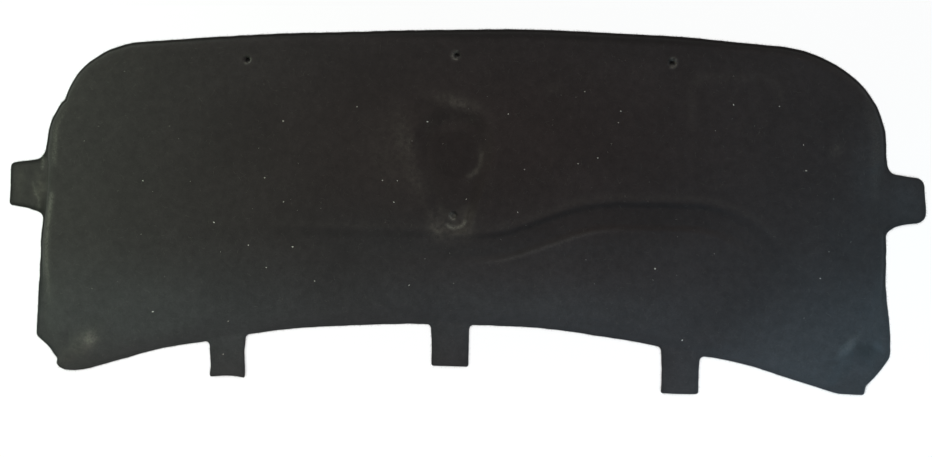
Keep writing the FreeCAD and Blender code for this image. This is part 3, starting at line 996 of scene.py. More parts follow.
    def recess_share(self, survey: Survey) -> Array:
        """Depth of the recess as a share, eased from its rim to its floor; the wall narrows to the tail."""
        ends, walls = (self.tail_y, self.head_y), (self.tail_wall, self.head_wall)
        return ease(-survey.pear / np.interp(survey.places[:, 1], ends, walls))

    def stamp_share(self, places: Array) -> Array:
        """Depth of the round print on the recess's floor as a share, eased over its narrow wall."""
        reach = np.hypot(*(places - self.stamp_place).T)
        return ease((self.stamp_radius - reach) / self.stamp_wall)

    def top(self, survey: Survey) -> Array:
        """Heights of the engine side.

        Each form sinks the surface by its own depth. The depths are joined as the root of the sum of their
        powers, which follows the deepest and eases where two meet, and held to the rim. Then come dished
        collars, soft waves, folds, the rounded lip along the cut edge and the curl of the edges.

        Args:
            survey: The places.

        Returns:
            One height for each place.
        """
        x, places = survey.places[:, 0], survey.places
        full = self.thickness - self.rim_thickness
        depths = np.stack([
            full * (1.0 - self.rise(survey)),
            full * ease(survey.corner) * np.where(x < 0, self.left_corner_share, 1.0),
            self.channel_depth * self.channel_fullness.at(x) * self.channel_share(survey),
            (self.thickness - self.recess_floor) * self.recess_share(survey),
        ])
        depth = np.minimum((depths ** self.blend_power).sum(axis=0) ** (1 / self.blend_power), full)
        collar = self.collar_radius - self.outline.clip_radius
        dish = self.collar_depth * ease((self.collar_radius - survey.holes) / collar).max(axis=0)
        wave = self.field_waves.at(places) * (1.0 - depth / full)
        stamp = self.stamp_depth * self.stamp_share(places)
        height = self.thickness - depth - dish - stamp + wave + self.handling.folded(places)
        inset = np.clip(survey.edge / self.lip_width, 0.0, 1.0)
        lip = self.lip_share + (1.0 - self.lip_share) * np.sqrt(1.0 - (1.0 - inset) ** 2)
        return height * lip + self.handling.lift(places)


@dataclass(frozen=True)
class Band:
    """A line of a mark beside the channel, at an offset towards the front; lengths in millimetres."""

    offset: float
    width: float
    strength: float
    along: Profile

    def cover(self, survey: Survey) -> Array:
        """How much of the mark each place has, fading as a bell curve to both sides of the line."""
        across = bell(survey.channel - self.offset * MM, self.width * MM)
        return self.strength * across * self.along.at(survey.places[:, 0])


@dataclass(frozen=True)
class PadMarks:
    """What moulding and use have left on the felt, and the shade, highlights and cool light painted on it, as
    functions of x and y.
    """

    relief: PadRelief
    front: Step = Step(160, 50)
    left_side: Step = Step(520, 30)
    right_side: Step = Step(540, 20)
    right_front: Step = Step(50, 30)
    edge_press: float = 0.35
    front_press: float = 0.6
    right_press: float = 0.6
    strip_reach: float = 4.0
    front_strip: Profile = Profile(((-400, 4), (-150, 7), (50, 12), (250, 12), (400, 9)))
    strip_hold: float = 0.6
    # Painted shade inside the front strip
    shade_press: float = 0.18
    shade_side: Step = Step(-20, 80)
    shade_inset: Step = Step(8, 30)
    tab_press: float = 0.08
    tab_step: Step = Step(0, 8)
    corner_press: float = 0.07
    recess_press: float = 0.10
    stamp_press: float = 0.28
    # Darkening of the channel: pressing, and painted shade in the groove
    channel_press: Profile = Profile(((-300, 0), (0, 0.14), (120, 0.25), (330, 0.25), (360, 0.07)))
    # Wear and painted highlights along the side crests
    crest_wear: float = 0.15
    crest_side: Step = Step(500, 40)
    left_crest_inset: Profile = Profile(((0, 12.5), (60, 15)))
    left_crest_width: float = 3.4 * MM
    left_crest_along: Profile = Profile((
        (-150, 0), (-90, 0.9), (-30, 0.9), (-20, 1.2), (6, 1.2),
        (14, 0), (44, 0), (58, 0.7), (100, 0.7), (140, 0),
    ))
    right_crest_share: float = 0.3
    right_crest_inset: float = 14 * MM
    right_crest_width: float = 7 * MM
    right_crest_along: Profile = Profile(((0, 0), (60, 1), (120, 1), (160, 0)))
    upper_along: ClassVar[Profile] = Profile((
        (-300, 0), (-200, 0.5), (50, 0.7), (110, 1.0), (380, 1.0), (460, 0.1),
    ))
    # Along the channel: wear with a painted highlight on its rear crest, dust with a painted highlight on its
    # front crest, and painted shade on its front wall
    lower_lip: Band = Band(-20, 2.2, 0.065, Profile(((30, 0), (80, 1), (165, 1), (200, 0.45), (250, 0))))
    upper_lip: Band = Band(25, 4.5, 0.055, upper_along)
    upper_wall: Band = Band(12.5, 5, 0.08, upper_along)
    upper_wall_end: Step = Step(280, 60)

    def pressed(self, survey: Survey) -> Array:
        """How hard the felt is pressed, and where shade is painted, both of which darken it: the strongest of
        all these parts.

        These are the strip along the cut edge, wider and harder at the front, a painted shade inside it, the
        tabs, the thin rear corners, the channel, whose darkening is partly painted shade in the groove, the
        recess and the print on its floor.

        Args:
            survey: The places.

        Returns:
            One number for each place.
        """
        x, y = survey.places.T
        front = self.front.at(y)
        right = self.right_side.at(x) * self.right_front.at(y)
        press = np.maximum.reduce([
            self.edge_press + self.front_press * front,
            self.left_side.at(-x),
            self.right_press * right,
        ])
        reach = MM * (self.strip_reach + front * (self.front_strip.at(x) - self.strip_reach))
        shade = front * self.shade_side.at(x) * (1.0 - self.shade_inset.at(survey.edge))
        return np.maximum.reduce([
            press * (1.0 - ease((survey.edge - self.strip_hold * reach) / reach)),
            self.shade_press * shade,
            self.tab_press * self.tab_step.at(-survey.field),
            self.corner_press * ease(survey.corner),
            self.channel_press.at(x) * self.relief.channel_share(survey),
            self.recess_press * self.relief.recess_share(survey),
            self.stamp_press * self.relief.stamp_share(survey.places),
        ])

    def side_crests(self, survey: Survey) -> Array:
        """Wear and painted highlights along the crests of the field at both sides, as bell curves about a
        line inside its edge.

        Args:
            survey: The places.

        Returns:
            One number for each place.
        """
        x, y = survey.places.T
        left_line = MM * self.left_crest_inset.at(y)
        left = bell(survey.field - left_line, self.left_crest_width) * self.left_crest_along.at(y)
        right = bell(survey.field - self.right_crest_inset, self.right_crest_width)
        right *= self.right_crest_share * self.right_crest_along.at(y)
        return self.crest_wear * (left * self.crest_side.at(-x) + right * self.crest_side.at(x))

    def patches(self) -> list[Smudge | Streak]:
        """Dust, wear, painted shade, painted cool light, painted highlights and a brown tint that lie at one
        place on the pad.

        Returns:
            The patches and lines.
        """
        _, dust, worn, soot, haze, tan = Mark
        left_hole, right_hole, front_hole, recess_hole = self.relief.outline.clip_holes
        tail_y = self.relief.tail_y
        quarter = math.pi / 2
        scuff = Path(tuple(rounded([
            Corner(316 * MM, 116 * MM),
            Corner(312 * MM, 180 * MM, 20 * MM),
            Corner(428 * MM, 178 * MM, 22 * MM),
            Corner(427 * MM, 146 * MM),
        ])))
        return [
            # Dust round the recess, with a painted highlight on its upper left wall, and the crescent beside
            # its floor's print, dust with a painted highlight
            Smudge(dust, 4, 141, 30, 9, -16, 0.24), Smudge(dust, 0, 120, 44, 14, 0, 0.05),
            Smudge(dust, -66, 84, 44, 16, 108, 0.15), Smudge(dust, -50, 38, 34, 15, 120, 0.14),
            Smudge(dust, -86, 72, 60, 34, 110, 0.06), Smudge(dust, -36, 110, 22, 13, 45, 0.06),
            Smudge(dust, 45, 90, 42, 10, 90, 0.05),
            Streak(dust, Bend((7 * MM, 69 * MM), 30 * MM, -1.05, 1.3), 4.2, 0.22),
            # Dust and painted highlights in the recess's tail: the halo on its walls, its lit lower edge and
            # the rim of its hole; then painted shade at the foot of the channel's rear wall
            Streak(dust, Bend((0.0, tail_y), 21 * MM, -math.pi, math.pi), 12, 0.20),
            Smudge(dust, -18, -29, 15, 11, -40, 0.36), Smudge(dust, 19, -32, 14, 10, 30, 0.22),
            Streak(worn, Bend((3 * MM, tail_y - 1 * MM), 15.5 * MM, -2.3, 1.9), 2.2, 0.30),
            Streak(worn, Bend(recess_hole, 4.4 * MM, 2.4, 2.5), 1.8, 0.42),
            Smudge(soot, 8, -62, 16, 8, 10, 0.25),
            # Painted highlights on the collars of the front holes, drawn as pale fibres
            Streak(worn, Bend(front_hole, 5 * MM, 0.0, FULL_TURN), 1.3, 0.08),
            Streak(worn, Bend(front_hole, 5 * MM, quarter, math.pi), 1.8, 0.34),
            Streak(worn, Bend(right_hole, 5 * MM, -quarter, math.pi), 2.2, 0.30),
            Streak(worn, Bend(right_hole, 5 * MM, quarter, math.pi), 1.3, 0.06),
            Streak(worn, Bend(left_hole, 5 * MM, 0.0, FULL_TURN), 1.6, 0.08),
            Streak(worn, Bend(left_hole, 4.6 * MM, -2.0, 2.2), 1.6, 0.40),
            # Bright folds at the thin rear corners: painted cool light, and wear and dust with painted
            # highlights; painted shade beside the right corner's apex
            Smudge(haze, 519, -175, 26, 10, 50, 0.44), Smudge(worn, 525, -168, 14, 5, 50, 0.06),
            Smudge(haze, 560, -170, 20, 9, -40, 0.35), Smudge(soot, 543, -176, 14, 10, -20, 0.85),
            Smudge(worn, -497, -190, 9, 8, 30, 0.22), Smudge(dust, -507, -196, 26, 14, 40, 0.16),
            Smudge(dust, -530, -214, 18, 10, 40, 0.12),
            # Scuffs on the field
            Streak(dust, scuff, 6, 0.05), Smudge(dust, 321, 172, 14, 8, 50, 0.06),
            Smudge(dust, 502, 85, 10, 7, 60, 0.12), Smudge(dust, 132, 160, 14, 8, 0, 0.06),
            # Left side: the tab's crease and upper root with painted highlights, dust on the tab, and painted
            # shade beside its root and in the gap below it
            Streak(worn, self.relief.handling.tab_crease, 1.6, 0.08),
            Smudge(dust, -577, 16, 9, 20, 0, 0.17),
            Streak(worn, through((-571, 56), (-574, 44)), 2.2, 0.14),
            Smudge(soot, -569, -14, 6, 16, 0, 0.7), Smudge(soot, -560, 28, 9, 14, 0, 0.15),
            Smudge(dust, -606, 24, 8, 20, 0, 0.08),
            # Right side: painted cool light on the tab and on the edge in front of it
            Smudge(haze, 592, 18, 34, 40, 0, 0.14), Smudge(haze, 543, 50, 24, 66, 0, 0.10),
            # Painted cool light over the band behind the channel, stronger towards the right
            Smudge(haze, -290, -170, 380, 85, 0, 0.19), Smudge(haze, 60, -140, 300, 78, 0, 0.21),
            Smudge(haze, -80, -60, 130, 50, 0, 0.09), Smudge(haze, 500, -180, 240, 100, 20, 0.21),
            Smudge(haze, 540, -40, 60, 60, 0, 0.08),
            # Paler grey over the front left
            Smudge(dust, -470, 185, 150, 50, 20, 0.035),
            # Brown tint over the middle and towards the front right
            Smudge(tan, 90, 90, 380, 150, 0, 1.0), Smudge(tan, 190, -16, 180, 36, 8, 0.7),
            Smudge(tan, 140, -86, 230, 40, 0, 0.8),
        ]

    def at(self, survey: Survey) -> dict[Mark, Array]:
        """How strong each mark is at every place: the strongest of all that leave it there.

        Args:
            survey: The places.

        Returns:
            One array of numbers from 0 to 1 for each mark.
        """
        wall_left = 1.0 - self.upper_wall_end.at(survey.places[:, 0])
        covers: dict[Mark, list[Array]] = {mark: [] for mark in Mark}
        # Pressing with painted shade, dust and wear with painted highlights, and painted shade on the
        # channel's front wall
        covers[Mark.PRESSED] = [self.pressed(survey)]
        covers[Mark.DUST] = [self.upper_lip.cover(survey)]
        covers[Mark.WORN] = [self.side_crests(survey), self.lower_lip.cover(survey)]
        covers[Mark.SOOT] = [self.upper_wall.cover(survey) * wall_left]
        for patch in self.patches():
            covers[patch.mark].append(patch.cover(survey.places))
        return {mark: np.clip(np.stack(found).max(axis=0), 0.0, 1.0) for mark, found in covers.items()}


@dataclass(frozen=True)
class Span:
    """Values from low to high, mapped to least and most and held at both ends."""

    low: float
    high: float
    least: float
    most: float


@dataclass(frozen=True)
class Mottle:
    """Cloudy noise, at so many clouds a metre and with so much detail, mapped by a span."""

    scale: float
    detail: float
    span: Span


class Graph:
    """A material's nodes, with short calls that add and join them."""

    # A mix node's sockets for colours have the same names as those for numbers, so they go by number
    mix_inputs: ClassVar[tuple[int, int, int]] = (0, 6, 7)
    mix_output: ClassVar[int] = 2
    as_texture: ClassVar[dict[str, object]] = {"vector_type": "TEXTURE"}

    def __init__(self, name: str) -> None:
        """Starts a material with an output node and the surface's place in the object's own frame.

        Args:
            name: What the material is called.
        """
        self.material = bpy.data.materials.new(name)
        self.material.use_nodes = True
        self.tree = self.material.node_tree
        self.tree.nodes.clear()
        self.output = self.add("ShaderNodeOutputMaterial")
        self.place = self.add("ShaderNodeTexCoord").outputs["Object"]

    def add(self, kind: str, settings: dict[str, object] | None = None, **inputs: Input) -> Node:
        """Adds a node.

        Args:
            kind: The type of node.
            settings: The node's properties by name.
            inputs: A socket or a value for each input, named with underscores for spaces.

        Returns:
            The node.
        """
        node = self.tree.nodes.new(kind)
        for name, value in (settings or {}).items():
            setattr(node, name, value)
        for name, value in inputs.items():
            self.put(node.inputs[name.replace("_", " ")], value)
        return node

    def put(self, socket: Socket, value: Input) -> None:
        """Links a node's input, or sets it.

        Args:
            socket: The input.
            value: A socket to link from, or a number, a vector or a colour to set.
        """
        if isinstance(value, Socket):
            self.tree.links.new(value, socket)
        elif socket.type == "RGBA":
            socket.default_value = (*value, 1.0)
        else:
            socket.default_value = value

    def attribute(self, name: str) -> Socket:
        """A number that the mesh keeps at its vertices."""
        return self.add("ShaderNodeAttribute", {"attribute_name": name}).outputs["Fac"]

    def noise(self, scale: float, detail: float, place: Socket | None = None) -> Socket:
        """Cloudy noise from 0 to 1, at so many clouds a metre and with so many finer layers."""
        where = self.place if place is None else place
        return self.add("ShaderNodeTexNoise", Vector=where, Scale=scale, Detail=detail).outputs["Fac"]

    def turned(self, degrees: float, stretch: float) -> Socket:
        """The place as seen along a heading about z, and drawn out along it for fibres that lie one way."""
        turn = {"Rotation": (0.0, 0.0, math.radians(degrees)), "Scale": (stretch, 1.0, 1.0)}
        return self.add("ShaderNodeMapping", self.as_texture, Vector=self.place, **turn).outputs["Vector"]

    def remap(self, value: Socket, span: Span) -> Socket:
        """Maps a number by a span."""
        ends = {"From_Min": span.low, "From_Max": span.high, "To_Min": span.least, "To_Max": span.most}
        return self.add("ShaderNodeMapRange", Value=value, **ends).outputs["Result"]

    def mottled(self, mottle: Mottle) -> Socket:
        """Cloudy noise, mapped by its span."""
        return self.remap(self.noise(mottle.scale, mottle.detail), mottle.span)

    def join(self, operation: Operation, first: Input, *others: Input) -> Socket:
        """Joins numbers by an operation, one after another.

        Args:
            operation: The way to join them.
            first: The first number.
            others: The numbers that follow.

        Returns:
            The joined number.
        """
        for other in others:
            node = self.add("ShaderNodeMath", {"operation": operation.value})
            self.put(node.inputs[0], first)
            self.put(node.inputs[1], other)
            first = node.outputs["Value"]
        return first

    def mix(self, share: Input, first: Input, second: Input, blend: Blend = Blend.OVER) -> Socket:
        """Mixes two colours by a share.

        Args:
            share: How much of the second colour there is.
            first: The first colour.
            second: The second colour.
            blend: The way of mixing.

        Returns:
            The mixed colour.
        """
        node = self.add("ShaderNodeMix", {"data_type": "RGBA", "blend_type": blend.value})
        for number, value in zip(self.mix_inputs, (share, first, second)):
            self.put(node.inputs[number], value)
        return node.outputs[self.mix_output]

    def toned(self, colour: Input, tone: Socket) -> Socket:
        """A colour made lighter or darker: all its parts times a number."""
        grey = self.add("ShaderNodeCombineColor", Red=tone, Green=tone, Blue=tone)
        return self.mix(1.0, colour, grey.outputs["Color"], Blend.TIMES)

    def bumped(self, height: Socket, strength: float, distance: float) -> Socket:
        """The surface's normal, tilted by a height."""
        bump = self.add("ShaderNodeBump", Height=height, Strength=strength, Distance=distance)
        return bump.outputs["Normal"]

    def surface(self, **inputs: Input) -> Node:
        """A Principled surface with these inputs."""
        return self.add("ShaderNodeBsdfPrincipled", **inputs)

    def finish(self, shader: Node) -> Material:
        """Joins the shader to the output and gives the material."""
        self.tree.links.new(shader.outputs[0], self.output.inputs["Surface"])
        return self.material


@dataclass(frozen=True)
class FeltFinish:
    """Needled black felt: crossing fibres, pits and clumps, dark where pressed and where shade is painted,
    pale where worn and where highlights are painted, bluer where cool light is painted.
    """

    pile: Colour = (0.0200, 0.0176, 0.0177)
    black: Colour = (0.0, 0.0, 0.0)
    # Dust, also used for painted highlights
    dust: Colour = (0.105, 0.094, 0.078)
    # Pale wear, also used for painted highlights
    worn: Colour = (0.230, 0.217, 0.188)
    # Colour of the painted shade
    soot: Colour = (0.008, 0.0075, 0.007)
    # Colour of the painted cool light
    haze: Colour = (0.055, 0.066, 0.073)
    tan: Colour = (0.0202, 0.0150, 0.0143)
    # How much pressing and painted shade darken the felt
    press_darkening: float = 0.6
    fibre_headings: tuple[float, ...] = (12.0, 74.0, -38.0)
    fibre_stretch: float = 16.0
    fibre_scale: float = 2600.0
    fibre_detail: float = 1.0
    fibre_body: Span = Span(0.45, 0.8, 0.0, 1.0)
    fibre_tone: Span = Span(0.0, 1.0, 0.82, 1.35)
    fibre_fray: Span = Span(0.0, 1.0, 0.7, 1.3)
    pit_scale: float = 520.0
    pit_scatter: float = 0.9
    pit_depth: Span = Span(0.0, 0.35, 0.0, 1.0)
    clumps: Mottle = Mottle(95.0, 3.0, Span(0.3, 0.7, 0.90, 1.10))
    drifts: Mottle = Mottle(9.0, 2.0, Span(0.3, 0.7, 0.92, 1.08))
    dust_patches: Mottle = Mottle(160.0, 4.0, Span(0.35, 0.65, 0.35, 1.25))
    dust_grain: Mottle = Mottle(700.0, 2.0, Span(0.3, 0.7, 0.6, 1.3))
    fray: Mottle = Mottle(420.0, 3.0, Span(0.32, 0.62, 0.25, 1.2))
    press_flattening: Span = Span(0.0, 1.0, 1.0, 0.45)
    fibre_relief: float = 0.6
    pit_relief: float = 0.5
    clump_relief: float = 0.9
    bump_strength: float = 0.7
    bump_distance: float = 0.35 * MM
    roughness: Span = Span(0.0, 1.0, 0.96, 0.86)
    specular: float = 0.10
    sheen: float = 0.05
    sheen_roughness: float = 0.45
    sheen_tint: Colour = (0.85, 0.84, 0.80)

    def fibres(self, graph: Graph) -> Socket:
        """Fibres that cross: the brightest of three noises, each drawn out along its own heading.

        Args:
            graph: The material's nodes.

        Returns:
            A number from 0, between fibres, to 1, on one.
        """
        layers = [
            graph.noise(self.fibre_scale, self.fibre_detail, graph.turned(heading, self.fibre_stretch))
            for heading in self.fibre_headings
        ]
        return graph.remap(graph.join(Operation.GREATER, *layers), self.fibre_body)

    def colour(self, graph: Graph, fibres: Socket, clumps: Socket) -> Socket:
        """The felt's colour: its pile under the brown tint, pressing with painted shade, more painted shade
        and painted cool light, then dust and wear with painted highlights.

        Args:
            graph: The material's nodes.
            fibres: Where the fibres are.
            clumps: How thick the clumps are.

        Returns:
            The colour.
        """
        pressed, dust, worn, soot, haze, tan = (graph.attribute(mark.value) for mark in Mark)
        # Brown tint
        body = graph.mix(tan, self.pile, self.tan)
        # Darker where pressed and where shade is painted
        body = graph.mix(graph.join(Operation.TIMES, pressed, self.press_darkening), body, self.black)
        # Painted shade
        body = graph.mix(soot, body, self.soot)
        # Painted cool light
        body = graph.mix(haze, body, self.haze)
        tone = graph.join(
            Operation.TIMES,
            graph.remap(clumps, self.clumps.span),
            graph.mottled(self.drifts),
            graph.remap(fibres, self.fibre_tone),
        )
        body = graph.toned(body, tone)
        patches, grain = graph.mottled(self.dust_patches), graph.mottled(self.dust_grain)
        # Dust, with painted highlights
        dust_and_highlight_share = graph.join(Operation.TIMES, dust, patches, grain)
        body = graph.mix(graph.join(Operation.LESSER, dust_and_highlight_share, 1.0), body, self.dust)
        # Wear, with painted highlights
        fray, threads = graph.mottled(self.fray), graph.remap(fibres, self.fibre_fray)
        wear_and_highlight_share = graph.join(Operation.TIMES, worn, fray, threads)
        return graph.mix(graph.join(Operation.LESSER, wear_and_highlight_share, 1.0), body, self.worn)

    def relief(self, graph: Graph, fibres: Socket, clumps: Socket) -> Socket:
        """The felt's fine relief: fibres, needle pits and clumps added up, flatter where it is pressed and
        where shade is painted.

        Args:
            graph: The material's nodes.
            fibres: Where the fibres are.
            clumps: How thick the clumps are.

        Returns:
            The height.
        """
        cells = {"Scale": self.pit_scale, "Randomness": self.pit_scatter}
        pits = graph.add("ShaderNodeTexVoronoi", Vector=graph.place, **cells)
        pit_depth = graph.remap(pits.outputs["Distance"], self.pit_depth)
        height = graph.join(
            Operation.PLUS,
            graph.join(Operation.TIMES, fibres, self.fibre_relief),
            graph.join(Operation.TIMES, pit_depth, self.pit_relief),
            graph.join(Operation.TIMES, clumps, self.clump_relief),
        )
        loose = graph.remap(graph.attribute(Mark.PRESSED.value), self.press_flattening)
        return graph.join(Operation.TIMES, height, loose)

    def material(self) -> Material:
        """Builds the felt's nodes.

        Returns:
            The material.
        """
        graph = Graph("needled_felt")
        fibres = self.fibres(graph)
        clumps = graph.noise(self.clumps.scale, self.clumps.detail)
        height = self.relief(graph, fibres, clumps)
        return graph.finish(graph.surface(
            Base_Color=self.colour(graph, fibres, clumps),
            Roughness=graph.remap(graph.attribute(Mark.PRESSED.value), self.roughness),
            Specular_IOR_Level=self.specular,
            Sheen_Weight=self.sheen,
            Sheen_Roughness=self.sheen_roughness,
            Sheen_Tint=self.sheen_tint,
            Normal=graph.bumped(height, self.bump_strength, self.bump_distance),
        ))


@dataclass(frozen=True)
class FibreFinish:
    """Loose fibres: from as dark as the felt to pale, by the tone of each fibre."""

    dark: Colour = (0.020, 0.018, 0.0175)
    pale: Colour = (0.190, 0.180, 0.155)
    speckle: Mottle = Mottle(900.0, 2.0, Span(0.3, 0.7, 0.8, 1.2))
    roughness: float = 0.9
    specular: float = 0.10
    tone: ClassVar[str] = "tone"

    def material(self) -> Material:
        """Builds the fibres' nodes.

        Returns:
            The material.
        """
        graph = Graph("loose_fibre")
        share = graph.join(Operation.TIMES, graph.attribute(self.tone), graph.mottled(self.speckle))
        colour = graph.mix(share, self.dark, self.pale)
        gloss = {"Roughness": self.roughness, "Specular_IOR_Level": self.specular}
        return graph.finish(graph.surface(Base_Color=colour, **gloss))


@dataclass(frozen=True)
class LintFinish:
    """Off-white lint, a little different from fleck to fleck."""

    pale: Colour = (0.62, 0.60, 0.54)
    dull: Colour = (0.28, 0.26, 0.23)
    shades: Mottle = Mottle(30.0, 1.0, Span(0.35, 0.65, 0.0, 1.0))
    fluff_scale: float = 2400.0
    fluff_detail: float = 2.0
    bump_strength: float = 0.5
    bump_distance: float = 0.2 * MM
    roughness: float = 0.95
    specular: float = 0.2

    def material(self) -> Material:
        """Builds the lint's nodes.

        Returns:
            The material.
        """
        graph = Graph("pale_lint")
        fluff = graph.noise(self.fluff_scale, self.fluff_detail)
        return graph.finish(graph.surface(
            Base_Color=graph.mix(graph.mottled(self.shades), self.dull, self.pale),
            Roughness=self.roughness,
            Specular_IOR_Level=self.specular,
            Normal=graph.bumped(fluff, self.bump_strength, self.bump_distance),
        ))


@dataclass(frozen=True)
class FloorFinish:
    """Pale floor that looks white to the camera where it is open, and keeps the pad's shadow."""

    paint: Colour = (0.86, 0.86, 0.86)
    mottle: Mottle = Mottle(3.0, 2.0, Span(0.3, 0.7, 0.99, 1.01))
    roughness: float = 0.9
    white_share: float = 0.90
    white: float = 0.99
    open_from: float = 0.8
    shade_reach: float = 25 * MM

    def material(self) -> Material:
        """Builds the floor's nodes: lit paint, and over it a white glow that fades beside the pad.

        Returns:
            The material.
        """
        graph = Graph("pale_floor")
        colour = graph.toned(self.paint, graph.mottled(self.mottle))
        paint = graph.surface(Base_Color=colour, Roughness=self.roughness)
        open_sky = graph.add("ShaderNodeAmbientOcclusion", Distance=self.shade_reach)
        glow = graph.remap(open_sky.outputs["AO"], Span(0.0, self.open_from, 0.0, self.white))
        light = graph.add("ShaderNodeEmission", Strength=glow)
        rays = graph.add("ShaderNodeLightPath").outputs
        seen = graph.join(
            Operation.GREATER, rays["Is Camera Ray"], rays["Is Glossy Ray"], rays["Is Transmission Ray"]
        )
        both = graph.add("ShaderNodeMixShader")
        shares = (graph.join(Operation.TIMES, seen, self.white_share), paint.outputs[0], light.outputs[0])
        for socket, value in zip(both.inputs, shares):
            graph.put(socket, value)
        return graph.finish(both)


@dataclass(frozen=True)
class UnderlayFinish:
    """Matt paper under the clip holes, whose tone paints the shade seen through them."""

    paper: Colour
    fibre: Mottle = Mottle(900.0, 3.0, Span(0.3, 0.7, 0.7, 1.3))
    roughness: float = 0.95
    specular: float = 0.1

    def material(self) -> Material:
        """Builds the paper's nodes.

        Returns:
            The material.
        """
        graph = Graph("matt_paper")
        colour = graph.toned(self.paper, graph.mottled(self.fibre))
        gloss = {"Roughness": self.roughness, "Specular_IOR_Level": self.specular}
        return graph.finish(graph.surface(Base_Color=colour, **gloss))


def add_mesh(
    name: str, vertices: Array, faces: list[list[int]], numbers: dict[str, Array] | None = None
) -> Piece:
    """Puts a smooth mesh into the scene, as an object at the origin.

    Args:
        name: What the object is called.
        vertices: An array of x, y and z.
        faces: The vertex numbers of each face.
        numbers: A number for every vertex, by the name that the mesh keeps it under.

    Returns:
        The object.
    """
    mesh = bpy.data.meshes.new(name)
    mesh.from_pydata(vertices.tolist(), [], faces)
    mesh.validate()
    mesh.polygons.foreach_set("use_smooth", np.ones(len(mesh.polygons), dtype=bool))
    for key, values in (numbers or {}).items():
        attribute = mesh.attributes.new(key, "FLOAT", "POINT")
        attribute.data.foreach_set("value", values.astype(np.float32))
    mesh.update()
    piece = bpy.data.objects.new(name, mesh)
    bpy.context.scene.collection.objects.link(piece)
    return piece


